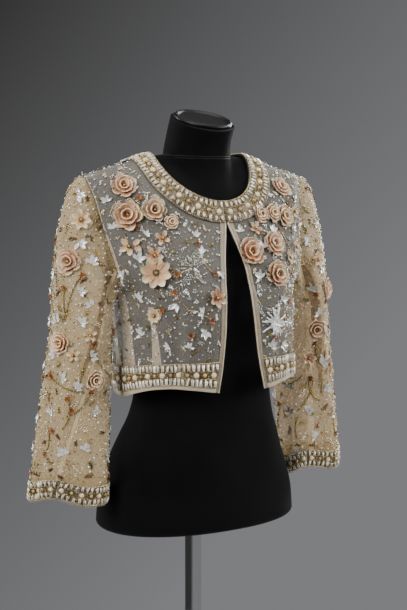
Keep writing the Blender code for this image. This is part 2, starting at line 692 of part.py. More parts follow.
def make_stand(steel, collection):
    """Bright pole under the form, in the socket of a plain round foot."""
    top = SHOULDER_HEIGHT - FORM_BOTTOM_DROP - SEAM
    turned("stand_pole", (
        (0.0, top),
        (POLE_RADIUS, top),
        (POLE_RADIUS, SOCKET_FLOOR + SEAM),
        (0.0, SOCKET_FLOOR + SEAM),
    ), steel, collection)
    turned("stand_base", (
        (0.0, SOCKET_FLOOR),
        (POLE_RADIUS + SEAM, SOCKET_FLOOR),
        (POLE_RADIUS + SEAM, BOSS_HEIGHT),
        (BOSS_RADIUS, BOSS_HEIGHT),
        (BOSS_RADIUS, BASE_HEIGHT),
        (BASE_RADIUS - BASE_ROUND, BASE_HEIGHT),
        (BASE_RADIUS, BASE_HEIGHT - BASE_ROUND),
        (BASE_RADIUS, 0.0),
        (0.0, 0.0),
    ), steel, collection)


def main():
    for leftover in list(bpy.data.objects):
        bpy.data.objects.remove(leftover, do_unlink=True)
    collection = bpy.data.collections.new("evening_jacket")
    bpy.context.scene.collection.children.link(collection)
    silk = material("silk_organza", (0.62, 0.50, 0.34), 0.55)
    beads = material("bead_border", (0.70, 0.62, 0.45), 0.25, 0.6)
    satin = material("satin_edge", (0.72, 0.60, 0.46), 0.40)
    make_body_panels((silk, collection))
    make_sleeves((silk, collection))
    make_bands((beads, collection))
    make_bindings((satin, collection))
    jersey = material("black_jersey", (0.012, 0.012, 0.013), 0.80)
    gloss = material("black_cap", (0.010, 0.010, 0.011), 0.25)
    steel = material("bright_steel", (0.60, 0.60, 0.61), 0.18, 1.0)
    make_dress_form(jersey, gloss, collection)
    make_stand(steel, collection)


main()
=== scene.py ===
"""Cropped evening jacket of beaded silk organza, worn by a black limbless dress form on its stand.

The wearer's front faces -Y and the wearer's right is at -X. Heights on the garment are given as
a drop below the shoulder tips, in metres.
"""
import math

import bmesh
import bpy
import numpy as np
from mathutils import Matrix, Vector


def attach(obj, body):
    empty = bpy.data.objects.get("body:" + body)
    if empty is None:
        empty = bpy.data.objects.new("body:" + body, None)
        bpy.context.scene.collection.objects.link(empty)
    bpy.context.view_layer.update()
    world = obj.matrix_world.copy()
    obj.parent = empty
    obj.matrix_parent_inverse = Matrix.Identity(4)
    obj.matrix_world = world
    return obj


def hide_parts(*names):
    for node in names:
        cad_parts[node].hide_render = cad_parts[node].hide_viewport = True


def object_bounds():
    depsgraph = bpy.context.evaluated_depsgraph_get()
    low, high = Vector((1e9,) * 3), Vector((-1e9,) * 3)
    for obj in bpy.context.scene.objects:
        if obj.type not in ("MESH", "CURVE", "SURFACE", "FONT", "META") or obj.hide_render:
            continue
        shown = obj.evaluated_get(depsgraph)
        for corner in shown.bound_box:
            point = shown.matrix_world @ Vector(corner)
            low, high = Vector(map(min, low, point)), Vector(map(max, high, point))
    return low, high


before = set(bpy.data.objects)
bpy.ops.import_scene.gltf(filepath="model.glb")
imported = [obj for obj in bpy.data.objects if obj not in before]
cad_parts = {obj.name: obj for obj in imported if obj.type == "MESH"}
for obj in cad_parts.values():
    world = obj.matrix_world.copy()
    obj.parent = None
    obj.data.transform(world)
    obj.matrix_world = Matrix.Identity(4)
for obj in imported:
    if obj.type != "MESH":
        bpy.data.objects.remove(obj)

cad_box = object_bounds()

# Camera: level with the shoulders, 32 degrees to the wearer's right, looking a little down. Its
# lens and its angles are the photograph's, measured in pixels of a picture 610 high.
SHOULDER_HEIGHT = 1.380
CAMERA_TURN = math.radians(32)
CAMERA_AWAY = 2.2
PICTURE_HEIGHT = 610
FOCAL_LENGTH = 1320
LOOKS_DOWN = 129
LOOKS_ASIDE = 10.5
SENSOR_WIDTH = 36
pitch = math.atan(LOOKS_DOWN / FOCAL_LENGTH)
yaw = math.atan(LOOKS_ASIDE / FOCAL_LENGTH)
ahead = Vector((math.sin(CAMERA_TURN), math.cos(CAMERA_TURN), 0))
beside = Vector((math.cos(CAMERA_TURN), -math.sin(CAMERA_TURN), 0))
level = ahead * math.cos(yaw) + beside * math.sin(yaw)
looking = level * math.cos(pitch) - Vector((0, 0, math.sin(pitch)))
camera_data = bpy.data.cameras.new("camera")
camera_data.sensor_width = SENSOR_WIDTH
camera_data.lens = SENSOR_WIDTH * FOCAL_LENGTH / PICTURE_HEIGHT
camera = bpy.data.objects.new("camera", camera_data)
camera.location = Vector((0, 0, SHOULDER_HEIGHT)) - ahead * CAMERA_AWAY
camera.rotation_euler = looking.to_track_quat("-Z", "Y").to_euler()
bpy.context.scene.collection.objects.link(camera)
bpy.context.scene.camera = camera
bpy.context.scene.camera = camera


# Studio: a pale floor, grey air that lightens to the right and downward, and soft lamps all round.
# Two large ones light the front, and two narrow ones the sides, for the sparkle of the beads.
def set_inputs(node, values):
    """Set inputs of a node by name; an underscore stands for a space."""
    for name, value in values.items():
        node.inputs[name.replace("_", " ")].default_value = value


def shader_of(name, colour, roughness, metallic=0.0, **inputs):
    """New material with its main shader set."""
    made = bpy.data.materials.new(name)
    made.use_nodes = True
    shader = made.node_tree.nodes["Principled BSDF"]
    set_inputs(shader, {"Base_Color": (*colour, 1), "Roughness": roughness, "Metallic": metallic, **inputs})
    return made, shader


def add_node(made, kind, **inputs):
    """New node in a material or world."""
    node = made.node_tree.nodes.new(kind)
    set_inputs(node, inputs)
    return node


def math_node(made, operation, *values):
    """Node that works out a number; the values are its inputs from the second on."""
    node = add_node(made, "ShaderNodeMath")
    node.operation = operation
    for place, value in enumerate(values, 1):
        node.inputs[place].default_value = value
    return node


def ramp(made, *stops):
    """Node that turns a number into a colour, between stops of a place and a colour."""
    node = add_node(made, "ShaderNodeValToRGB")
    for number, (place, colour) in enumerate(stops):
        node.color_ramp.elements[number].position = place
        node.color_ramp.elements[number].color = (*colour, 1)
    return node


def wire(made, *links):
    """Join nodes of a material or world: a node and its output, a node and its input."""
    for source, output, target, socket in links:
        made.node_tree.links.new(source.outputs[output], target.inputs[socket])


def new_object(name, shape, look=None):
    """A finished bmesh becomes an object at the origin."""
    mesh = bpy.data.meshes.new(name)
    shape.to_mesh(mesh)
    shape.free()
    made = bpy.data.objects.new(name, mesh)
    bpy.context.scene.collection.objects.link(made)
    if look:
        mesh.materials.append(look)
    return made


FLOOR_RADIUS = 1.5
FLOOR_GAP = 0.0005
floor_shape = bmesh.new()
bmesh.ops.create_circle(floor_shape, cap_ends=True, segments=96, radius=FLOOR_RADIUS)
floor_look, floor_shader = shader_of("pale_floor", (0.62, 0.62, 0.63), 0.7)
speckle = add_node(floor_look, "ShaderNodeTexNoise", Scale=6.0, Detail=3.0)
tone = ramp(floor_look, (0, (0.58, 0.58, 0.59)), (1, (0.66, 0.66, 0.66)))
wire(floor_look, (speckle, "Fac", tone, "Fac"), (tone, "Color", floor_shader, "Base Color"))
floor = new_object("floor", floor_shape, floor_look)
floor.location.z = cad_box[0][2] - FLOOR_GAP

# The air's light is a sum: so much for each share to the right, so much for each upward, and a middle.
AIR_DARK = (0.038, 0.038, 0.038)
AIR_LIGHT = (0.210, 0.212, 0.220)
AIR_RIGHT = 1.93
AIR_UP = -1.65
AIR_MIDDLE = 0.505
studio = bpy.data.worlds.new("studio")
studio.use_nodes = True
bpy.context.scene.world = studio
background = studio.node_tree.nodes["Background"]
background.inputs["Strength"].default_value = 1.0
where = add_node(studio, "ShaderNodeTexCoord")
turned_air = add_node(studio, "ShaderNodeMapping", Rotation=(0, 0, CAMERA_TURN))
split = add_node(studio, "ShaderNodeSeparateXYZ")
rightward = math_node(studio, "MULTIPLY_ADD", AIR_RIGHT, AIR_MIDDLE)
light = math_node(studio, "MULTIPLY_ADD", AIR_UP)
grade = ramp(studio, (0, AIR_DARK), (1, AIR_LIGHT))
wire(
    studio, (where, "Generated", turned_air, "Vector"), (turned_air, "Vector", split, "Vector"),
    (split, "X", rightward, 0), (split, "Z", light, 0), (rightward, "Value", light, 2),
    (light, "Value", grade, "Fac"), (grade, "Color", background, "Color"),
)

LAMP_TARGET = Vector((0, 0, 1.15))
LAMPS = (
    # name, turn from the front in degrees, distance, height, width, depth, watts
    ("lamp_key", -70, 2.3, 2.3, 1.0, 1.2, 74),
    ("lamp_fill", 56, 2.6, 2.1, 1.2, 1.4, 76),
    ("lamp_left_strip", -150, 2.3, 1.7, 0.5, 1.8, 34),
    ("lamp_right_strip", 112, 2.3, 1.9, 0.6, 1.8, 78),
    ("lamp_top", 0, 0.2, 3.2, 1.6, 1.6, 38),
)
for name, turn, away, height, width, depth, watts in LAMPS:
    lamp_data = bpy.data.lights.new(name, "AREA")
    lamp_data.shape = "RECTANGLE"
    lamp_data.size = width
    lamp_data.size_y = depth
    lamp_data.energy = watts
    lamp = bpy.data.objects.new(name, lamp_data)
    around = math.radians(turn)
    lamp.location = (away * math.sin(around), -away * math.cos(around), height)
    lamp.rotation_euler = (LAMP_TARGET - lamp.location).to_track_quat("-Z", "Y").to_euler()
    bpy.context.scene.collection.objects.link(lamp)


# Shape of the jacket: the fronts, the back and the sleeves are cut to these sizes and hang to
# these sections. All are given for the wearer's left half; the right half is its mirror image.
NECK_HALF_WIDTH = 0.0875
NECK_POINT_DROP = -0.036
FRONT_NECK_DROP = 0.040
BACK_NECK_DROP = -0.028
SHOULDER_HALF_WIDTH = 0.207
SHOULDER_SLOPE = (SHOULDER_HALF_WIDTH - NECK_HALF_WIDTH) / -NECK_POINT_DROP
FRONT_NECK_SHARE = 0.54
BACK_NECK_SHARE = 0.46
UNDERARM_SHARE = 0.46
NECK_WARP = 1.5
TOP_START = 0.25
HEM_END = 0.30
FRONT_HEM_DROP = 0.340
SIDE_HEM_DROP = 0.352
BACK_HEM_DROP = 0.346
FRONT_HEM_RISE = 0.014
SECTION_COLUMNS = ("drop", "half_width", "side_y", "front_depth", "back_depth", "power", "bust")
SECTIONS = np.array([
    (-0.036, 0.0875, -0.008, 0.022, 0.060, 2.00, 0.000),
    (-0.018, 0.1472, -0.008, 0.034, 0.068, 2.00, 0.000),
    (0.000, 0.2070, -0.008, 0.048, 0.074, 2.00, 0.000),
    (0.020, 0.2065, -0.008, 0.065, 0.079, 2.02, 0.000),
    (0.040, 0.2055, -0.008, 0.080, 0.083, 2.05, 0.000),
    (0.072, 0.2020, -0.007, 0.092, 0.089, 2.10, 0.002),
    (0.112, 0.1960, -0.006, 0.108, 0.095, 2.20, 0.007),
    (0.150, 0.1830, -0.008, 0.118, 0.097, 2.35, 0.011),
    (0.170, 0.1700, -0.009, 0.121, 0.097, 2.45, 0.012),
    (0.187, 0.1585, -0.011, 0.123, 0.098, 2.55, 0.013),
    (0.230, 0.1545, -0.018, 0.121, 0.102, 2.55, 0.012),
    (0.290, 0.1520, -0.026, 0.116, 0.110, 2.45, 0.009),
    (0.360, 0.1500, -0.031, 0.115, 0.118, 2.40, 0.006),
])
BUST_X = 0.085
BUST_SPREAD = 0.048
EDGE_COLUMNS = ("drop", "gap")
FRONT_EDGE = np.array([
    (0.040, 0.0004),
    (0.072, 0.0010),
    (0.092, 0.0055),
    (0.112, 0.0112),
    (0.148, 0.0192),
    (0.205, 0.0248),
    (0.250, 0.0287),
    (0.293, 0.0342),
    (0.345, 0.0445),
])
ARMHOLE_COLUMNS = ("share", "front_x", "front_drop", "back_x", "back_drop")
ARMHOLE = np.array([
    (0.00, 0.1585, 0.187, 0.1585, 0.187),
    (0.15, 0.1630, 0.176, 0.1640, 0.178),
    (0.30, 0.1730, 0.152, 0.1730, 0.156),
    (0.50, 0.1840, 0.112, 0.1840, 0.116),
    (0.70, 0.1930, 0.069, 0.1930, 0.071),
    (0.85, 0.2000, 0.031, 0.2000, 0.032),
    (1.00, 0.2070, 0.000, 0.2070, 0.000),
])


def smooth_value(table, columns, name, at):
    """Read one column of a table at the given key by a smooth curve with no overshoot."""
    keys = table[:, 0]
    values = table[:, columns.index(name)]
    steps = np.diff(values) / np.diff(keys)
    slopes = np.zeros(len(keys))
    slopes[0] = steps[0]
    slopes[-1] = steps[-1]
    product = steps[1:] * steps[:-1]
    total = steps[1:] + steps[:-1]
    slopes[1:-1] = np.where(product > 0, 2 * product / np.where(product > 0, total, 1), 0)
    at = np.asarray(at, dtype=float)
    left = np.clip(np.searchsorted(keys, at) - 1, 0, len(keys) - 2)
    width = keys[left + 1] - keys[left]
    t = np.clip((at - keys[left]) / width, 0, 1)
    start = (1 + 2 * t) * (1 - t) ** 2 * values[left] + t * (1 - t) ** 2 * width * slopes[left]
    end = t ** 2 * (3 - 2 * t) * values[left + 1] - t ** 2 * (1 - t) * width * slopes[left + 1]
    return start + end
def row_of(table, columns, at):
    """All values of a table at the given key, by name."""
    return {name: smooth_value(table, columns, name, at) for name in columns[1:]}
def mix(a, b, t):
    return a + (b - a) * t


def bump_at(x, middle, spread):
    return np.exp(-((x - middle) / spread) ** 2)


def section(name, drop):
    return smooth_value(SECTIONS, SECTION_COLUMNS, name, drop)


def half_width(drop):
    above = SHOULDER_HALF_WIDTH + SHOULDER_SLOPE * np.minimum(drop, 0)
    return np.where(drop < 0, above, section("half_width", np.maximum(drop, 0)))


def turn_of(x, drop):
    """Angle round the body, from the centre line to the side, of a point at this x and drop."""
    share = np.clip(x / half_width(drop), 0, 1)
    return np.arcsin(share ** (section("power", drop) / 2))


def body_point(turn, drop, face):
    """Point of the outside of the left half of the body; face is -1 for front and 1 for back."""
    power = 2 / section("power", drop)
    depth = section("front_depth", drop) if face < 0 else section("back_depth", drop)
    x = half_width(drop) * np.sin(turn) ** power
    cosine = np.maximum(np.cos(turn), 0) ** power
    y = section("side_y", drop) + face * depth * cosine
    if face < 0:
        y = y - section("bust", drop) * bump_at(x, BUST_X, BUST_SPREAD) * np.sqrt(cosine)
    return np.stack([x, y, SHOULDER_HEIGHT - drop], axis=-1)


def armhole(share, face):
    side = "front" if face < 0 else "back"
    x = smooth_value(ARMHOLE, ARMHOLE_COLUMNS, side + "_x", share)
    drop = smooth_value(ARMHOLE, ARMHOLE_COLUMNS, side + "_drop", share)
    return turn_of(x, drop), drop


def neckline(share, face):
    """Angle, distance from the centre and drop of the neckline; share 1 is the shoulder seam."""
    angle = (1 - (1 - np.clip(share, 0, 1)) ** NECK_WARP) * math.pi / 2
    centre_drop = FRONT_NECK_DROP if face < 0 else BACK_NECK_DROP
    return angle, NECK_HALF_WIDTH * np.sin(angle), mix(NECK_POINT_DROP, centre_drop, np.cos(angle))


def edge_gap(drop, face):
    return smooth_value(FRONT_EDGE, EDGE_COLUMNS, "gap", drop) if face < 0 else 0 * drop


def inner_edge(v, face):
    low, high = (FRONT_HEM_DROP, FRONT_NECK_DROP) if face < 0 else (BACK_HEM_DROP, BACK_NECK_DROP)
    drop = mix(low, high, v)
    return turn_of(edge_gap(drop, face), drop), drop


def outer_edge(v, face):
    low_drop = mix(SIDE_HEM_DROP, ARMHOLE[0, 2], np.minimum(v / UNDERARM_SHARE, 1))
    arm_turn, arm_drop = armhole(np.clip((v - UNDERARM_SHARE) / (1 - UNDERARM_SHARE), 0, 1), face)
    above = v > UNDERARM_SHARE
    return np.where(above, arm_turn, math.pi / 2), np.where(above, arm_drop, low_drop)


def top_edge(u, face):
    neck_share = FRONT_NECK_SHARE if face < 0 else BACK_NECK_SHARE
    angle, x, drop = neckline(u / neck_share, face)
    turn = turn_of(x + edge_gap(drop, face) * np.cos(angle), drop)
    seam_drop = mix(NECK_POINT_DROP, 0, (u - neck_share) / (1 - neck_share))
    on_seam = u >= neck_share
    return np.where(on_seam, math.pi / 2, turn), np.where(on_seam, seam_drop, drop)


def panel(u, v, face):
    """Point of the left front or back: u from its centre to its side, v from the hem to its top."""
    inner_turn, inner_drop = inner_edge(v, face)
    outer_turn, outer_drop = outer_edge(v, face)
    top_turn, top_drop = top_edge(u, face)
    first_turn, first_drop = top_edge(0 * u, face)
    last_turn, last_drop = top_edge(0 * u + 1, face)
    high = np.clip((v - TOP_START) / (1 - TOP_START), 0, 1) ** 2
    low = np.clip(1 - v / HEM_END, 0, 1) ** 2
    rise = FRONT_HEM_RISE * np.sin(math.pi * u) * low if face < 0 else 0
    turn = mix(inner_turn, outer_turn, u) + high * (top_turn - mix(first_turn, last_turn, u))
    drop = mix(inner_drop, outer_drop, u) + high * (top_drop - mix(first_drop, last_drop, u)) - rise
    return body_point(np.clip(turn, 0, math.pi / 2), drop, face)


def mirrored(points, side):
    return points * np.array([-1.0, 1.0, 1.0]) if side == "right" else points


class Cloth:
    """A piece of cloth as a surface of two shares, with its folds; low is the first share across."""

    def __init__(self, base, fold, axis, low=0.0):
        self.base = base
        self.fold = fold
        self.axis = axis
        self.low = low

    def flat_normals(self, surface, u, v):
        step = 0.0010
        low = self.low
        along = surface(np.clip(u + step, low, 1), v) - surface(np.clip(u - step, low, 1), v)
        up = surface(u, np.clip(v + step, 0, 1)) - surface(u, np.clip(v - step, 0, 1))
        normals = np.cross(along, up)
        normals /= np.maximum(np.linalg.norm(normals, axis=-1, keepdims=True), 1e-12)
        points = surface(u, v)
        out = (points[..., 0] - self.axis[0]) * normals[..., 0]
        out = out + (points[..., 1] - self.axis[1]) * normals[..., 1]
        return normals * (1 if np.mean(out) > 0 else -1), along

    def points(self, u, v):
        normals, _ = self.flat_normals(self.base, u, v)
        return self.base(u, v) + normals * self.fold(u, v)[..., None]

    def lay(self, u, v, rise=0.0):
        """Points on the folded cloth, raised by a height, with its normals and its way across."""
        normals, along = self.flat_normals(self.points, u, v)
        along = along / np.maximum(np.linalg.norm(along, axis=-1, keepdims=True), 1e-12)
        return self.points(u, v) + normals * np.asarray(rise)[..., None], normals, along


HELD_WIDTH = 0.06


def free(share):
    """How free folds are at a share away from a seam, which holds them flat."""
    return np.clip(share / HELD_WIDTH, 0, 1)


def front_folds(side):
    """Soft lengthwise folds of a front, from the bust down, and the small wave of its hem."""
    phase = 0.0 if side == "right" else 1.3

    def fold(u, v):
        below = np.clip(1 - v / 0.62, 0, 1)
        long_fold = np.sin(math.pi * np.clip(v / 0.6, 0, 1))
        folds = -0.0045 * bump_at(u, 0.36 + 0.10 * v, 0.055) * long_fold
        folds = folds + 0.0026 * bump_at(u, 0.52 + 0.06 * v, 0.060) * below
        folds = folds - 0.0020 * bump_at(u, 0.17 + 0.05 * v, 0.050) * below
        folds = folds + 0.0022 * np.sin(9.5 * u + phase + 2.0 * v) * below ** 2
        armhole_fold = 0.0030 * bump_at(u, 0.86, 0.07) * bump_at(v, 0.60, 0.14)
        wrinkle = np.sin(26 * v + 5 * u + phase)
        drag = 0.0012 * wrinkle * bump_at(u, 0.80, 0.16) * bump_at(v, 0.55, 0.20)
        return (folds + armhole_fold + drag) * (free(u) * free(1 - u) * free(1 - v))
    return fold


def back_folds(u, v):
    """Soft folds of the back: hollows beside the shoulder blades and easy fullness at the hem."""
    below = np.clip(1 - v / 0.6, 0, 1)
    across = np.abs(u)
    blade = np.sin(math.pi * np.clip(v / 0.75, 0, 1))
    folds = 0.0026 * np.sin(11.0 * u + 0.7 + 2.2 * v) * below
    folds = folds - 0.0030 * bump_at(across, 0.62 - 0.10 * v, 0.07) * blade
    folds = folds + 0.0018 * bump_at(across, 0.90, 0.06) * bump_at(v, 0.52, 0.14)
    wrinkle = np.sin(30 * v + 4 * u)
    folds = folds + 0.0009 * wrinkle * bump_at(across, 0.82, 0.12) * bump_at(v, 0.55, 0.2)
    return folds * free(1 - across) * free(1 - v)


BODY_AXIS = (0.0, -0.02)


def front_cloth(side):
    return Cloth(lambda u, v: mirrored(panel(u, v, -1), side), front_folds(side), BODY_AXIS)


def whole_back(u, v):
    points = panel(np.abs(u), v, 1)
    points[..., 0] *= np.where(u < 0, -1, 1)
    return points


cloths = {
    "front_right": front_cloth("right"),
    "front_left": front_cloth("left"),
    "back": Cloth(whole_back, back_folds, BODY_AXIS, -1.0),
}


# Cloth of the body: champagne silk organza, so sheer that the black form shows through it.
# The weave follows the piece's own flat measures, and slubs and a faint crinkle break the light.
CLOUD_DARK = 0.80
CLOUD_LIGHT = 1.12


def flat_measures(made):
    """Node that gives the flat measures of a piece of cloth."""
    node = add_node(made, "ShaderNodeUVMap")
    node.uv_map = "cloth"
    return node


def organza(name, colour, alpha, crinkle, other=None):
    """Silk in a colour clouded toward another; alpha is how dense it is."""
    made, shader = shader_of(
        name, colour, 0.50, Alpha=alpha, Sheen_Weight=0.35, Sheen_Roughness=0.35,
        Sheen_Tint=(1.0, 0.96, 0.88, 1))
    flat = flat_measures(made)
    slub_map = add_node(made, "ShaderNodeMapping", Scale=(900, 70, 1))
    slub = add_node(made, "ShaderNodeTexNoise", Scale=1.0, Detail=2.0)
    cloud = add_node(made, "ShaderNodeTexNoise", Scale=38.0, Detail=3.0)
    tone = add_node(made, "ShaderNodeMix")
    tone.data_type = "RGBA"
    tone.inputs[6].default_value = (*(CLOUD_DARK * channel for channel in colour), 1)
    tone.inputs[7].default_value = (*(min(CLOUD_LIGHT * channel, 1) for channel in other or colour), 1)
    blend = math_node(made, "MULTIPLY_ADD", 0.45)
    weft = add_node(made, "ShaderNodeTexWave", Scale=330.0)
    weft.bands_direction = "Y"
    warp = add_node(made, "ShaderNodeTexWave", Scale=330.0)
    weave = math_node(made, "MULTIPLY")
    fine = add_node(made, "ShaderNodeBump", Strength=0.25, Distance=0.0002)
    soft = add_node(made, "ShaderNodeBump", Strength=crinkle, Distance=0.0016)
    ripple = add_node(made, "ShaderNodeTexNoise", Scale=75.0, Detail=2.0, Distortion=0.6)
    wire(
        made, *((flat, "UV", target, "Vector") for target in (slub_map, cloud, weft, warp, ripple)),
        (slub_map, "Vector", slub, "Vector"), (slub, "Fac", blend, 0), (cloud, "Fac", blend, 2),
        (blend, "Value", tone, 0), (tone, 2, shader, "Base Color"), (weft, "Fac", weave, 0),
        (warp, "Fac", weave, 1), (weave, "Value", fine, "Height"), (ripple, "Fac", soft, "Height"),
        (soft, "Normal", fine, "Normal"), (fine, "Normal", shader, "Normal"),
    )
    return made


ORGANZA_WALL = 0.0005
body_organza = organza("organza_body", (0.52, 0.48, 0.41), 0.135, 0.35)


def cloth_piece(name, cloth, shares, size, look, wall=ORGANZA_WALL, rise=0.0):
    """Mesh of a piece of cloth over rows and columns of shares, with its flat measures as UVs."""
    columns, rows = (len(share) for share in shares)
    u, v = np.meshgrid(*shares)
    points, normals, _ = cloth.lay(u, v, rise + 0 * u)
    points = points.reshape(-1, 3)
    measures = np.stack([u * size[0], v * size[1]], axis=-1).reshape(-1, 2)
    shape = bmesh.new()
    bmesh.ops.create_grid(shape, x_segments=columns - 1, y_segments=rows - 1, size=0.5)
    flat = shape.loops.layers.uv.new("cloth")
    order = {}
    for vert in shape.verts:
        column = round((vert.co.x + 0.5) * (columns - 1))
        row = round((vert.co.y + 0.5) * (rows - 1))
        order[vert] = row * columns + column
    for vert, number in order.items():
        vert.co = points[number]
    for face in shape.faces:
        face.smooth = True
        for loop in face.loops:
            loop[flat].uv = measures[order[loop.vert]]
    shape.faces.ensure_lookup_table()
    middle = shape.faces[len(shape.faces) // 2]
    middle.normal_update()
    if middle.normal.dot(Vector(normals.reshape(-1, 3)[order[middle.verts[0]]])) < 0:
        bmesh.ops.reverse_faces(shape, faces=shape.faces)
    made = new_object(name, shape, look)
    if wall:
        thick = made.modifiers.new("wall", "SOLIDIFY")
        thick.thickness = wall
        thick.offset = -1
    return made


def dress(piece, node):
    """The piece takes the place of a CAD node and moves with the whole."""
    if node:
        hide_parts(node)
    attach(piece, "root")


SEAM = 0.0003
PANELS = (
    # name, first and last share across, steps across and up, width and length of the cut, its area
    ("front_right", 0.0, 1 - SEAM, 62, 88, (0.24, 0.42), 0.082),
    ("front_left", 0.0, 1 - SEAM, 62, 88, (0.24, 0.42), 0.082),
    ("back", -1 + SEAM, 1 - SEAM, 112, 88, (0.47, 0.44), 0.182),
)
for name, first, last, across, up, flat_size, area in PANELS:
    shares = np.linspace(first, last, across), np.linspace(0, 1 - SEAM, up)
    piece = cloth_piece(name + "_cloth", cloths[name], shares, flat_size, body_organza)
    dress(piece, name)


# Sleeves: long, set in, cut in two. The upper sleeve wraps the top of the arm; the under sleeve
# joins it in a seam that comes forward down the arm. Both show the light through two layers.
SLEEVE_TOP_DROP = 0.212
SLEEVE_COLUMNS = ("drop", "centre_x", "centre_y", "half_across", "half_deep", "turn")
SLEEVE = np.array([
    (0.212, 0.2130, -0.008, 0.0460, 0.0560, 0.0),
    (0.260, 0.2160, -0.008, 0.0500, 0.0530, 6.0),
    (0.350, 0.2240, -0.008, 0.0570, 0.0480, 14.0),
    (0.440, 0.2330, -0.010, 0.0620, 0.0460, 18.0),
    (0.530, 0.2400, -0.008, 0.0645, 0.0450, 20.0),
])
SLEEVE_HEM_DROP = 0.517
SLEEVE_HEM_TILT = 0.004
SLEEVE_HEM_RISE = 0.012
CUFF_DENT = 0.007
DENT_SPREAD = 32.0
CAP_SHARE = 0.36
TURN_SHARE = {"right": 1.0, "left": 0.6}
SEAM_COLUMNS = ("share", "front_right", "front_left")
FRONT_SEAM = np.array([
    (0.00, 124.0, 122.0),
    (0.35, 112.0, 118.0),
    (0.65, 92.0, 124.0),
    (1.00, 62.0, 128.0),
])
BACK_SEAM = -82.0
SLEEVE_GAP = 0.0010
SLEEVE_AXES = {"right": (-0.222, -0.008), "left": (0.222, -0.008)}


def sleeve_point(degrees, w, side):
    """Point of the left sleeve: degrees round it from its outer side by the front, w down it."""
    angle = np.radians(degrees)
    outness = np.cos(angle)
    frontness = np.sin(angle)
    share = np.abs(np.mod(degrees + 180, 360) - 180) / 180
    front_turn, front_drop = armhole(1 - share, -1)
    back_turn, back_drop = armhole(1 - share, 1)
    front = (frontness >= 0)[..., None]
    start = np.where(front, body_point(front_turn, front_drop, -1), body_point(back_turn, back_drop, 1))
    down = np.clip((w - CAP_SHARE) / (1 - CAP_SHARE), 0, 1)
    seam_end = FRONT_SEAM[-1, SEAM_COLUMNS.index("front_" + side)]
    from_seam = np.mod(degrees - seam_end + 180, 360) - 180
    facing = np.exp(-(from_seam / DENT_SPREAD) ** 2)
    hem = SLEEVE_HEM_DROP - SLEEVE_HEM_TILT * outness - SLEEVE_HEM_RISE * facing
    drop = mix(SLEEVE_TOP_DROP, hem, down)
    row = row_of(SLEEVE, SLEEVE_COLUMNS, drop)
    turn = np.radians(row["turn"] * TURN_SHARE[side])
    dent = CUFF_DENT * facing * down ** 3
    across = row["half_across"] * outness
    deep = (row["half_deep"] - dent) * frontness
    x = row["centre_x"] + across * np.cos(turn) + deep * np.sin(turn)
    y = row["centre_y"] - deep * np.cos(turn) + across * np.sin(turn)
    ring = np.stack([x, y, SHOULDER_HEIGHT - drop], axis=-1)
    t = np.clip(w / CAP_SHARE, 0, 1)
    topness = ((1 + outness) / 2) ** 1.5
    outward = mix(t, np.sin(t * math.pi / 2) ** 0.8, topness)[..., None]
    downward = mix(t, 1 - np.cos(t * math.pi / 2), topness)
    cap = start + (ring - start) * outward
    cap[..., 2] = start[..., 2] + (ring[..., 2] - start[..., 2]) * downward
    return np.where((w <= CAP_SHARE)[..., None], cap, ring)


def from_turn(degrees, middle, spread):
    """Share by which a place on the sleeve lies at a turn round it."""
    return bump_at(np.mod(degrees - middle + 180, 360) - 180, 0, spread)


SLEEVE_FOLDS = 1.35


def sleeve_fold(degrees, w, side):
    """Folds of a sleeve: a deep one below the front of the armhole, long ones down the arm."""
    shift = 0.0 if side == "right" else 17.0
    low = np.clip((w - 0.30) / 0.35, 0, 1)
    folds = -0.0050 * from_turn(degrees, 108 + 14 * w, 13) * bump_at(w, 0.22, 0.15)
    folds = folds + 0.0032 * from_turn(degrees, 84 + 8 * w, 15) * bump_at(w, 0.26, 0.22)
    for depth, middle, spread in (
        (-0.0034, 44 + shift - 16 * w, 12), (0.0030, 74 + shift - 12 * w, 14),
        (-0.0028, 8 - shift + 14 * w, 13), (-0.0036, -58 + shift + 12 * w, 15),
        (0.0026, -112 + shift, 18), (-0.0030, 170 + shift, 20),
    ):
        folds = folds + depth * from_turn(degrees, middle, spread) * low
    elbow = 0.0022 * np.sin(40 * w + 0.03 * degrees + shift) * bump_at(w, 0.56, 0.12)
    folds = folds + elbow * (from_turn(degrees, 130, 45) + from_turn(degrees, -60, 30))
    folds = folds - 0.0030 * from_turn(degrees, -100, 14) * bump_at(w, 0.20, 0.15)
    return SLEEVE_FOLDS * folds * free(w)


def front_seam(side):
    return lambda v: smooth_value(FRONT_SEAM, SEAM_COLUMNS, "front_" + side, v)


def back_seam(v):
    return BACK_SEAM + 0 * v


def sleeve_cloth(side, start, end):
    """Part of a sleeve between two lines down it."""
    def base(u, v):
        return mirrored(sleeve_point(mix(start(v), end(v), u), v, side), side)

    def fold(u, v):
        return sleeve_fold(mix(start(v), end(v), u), v, side)
    return Cloth(base, fold, SLEEVE_AXES[side])


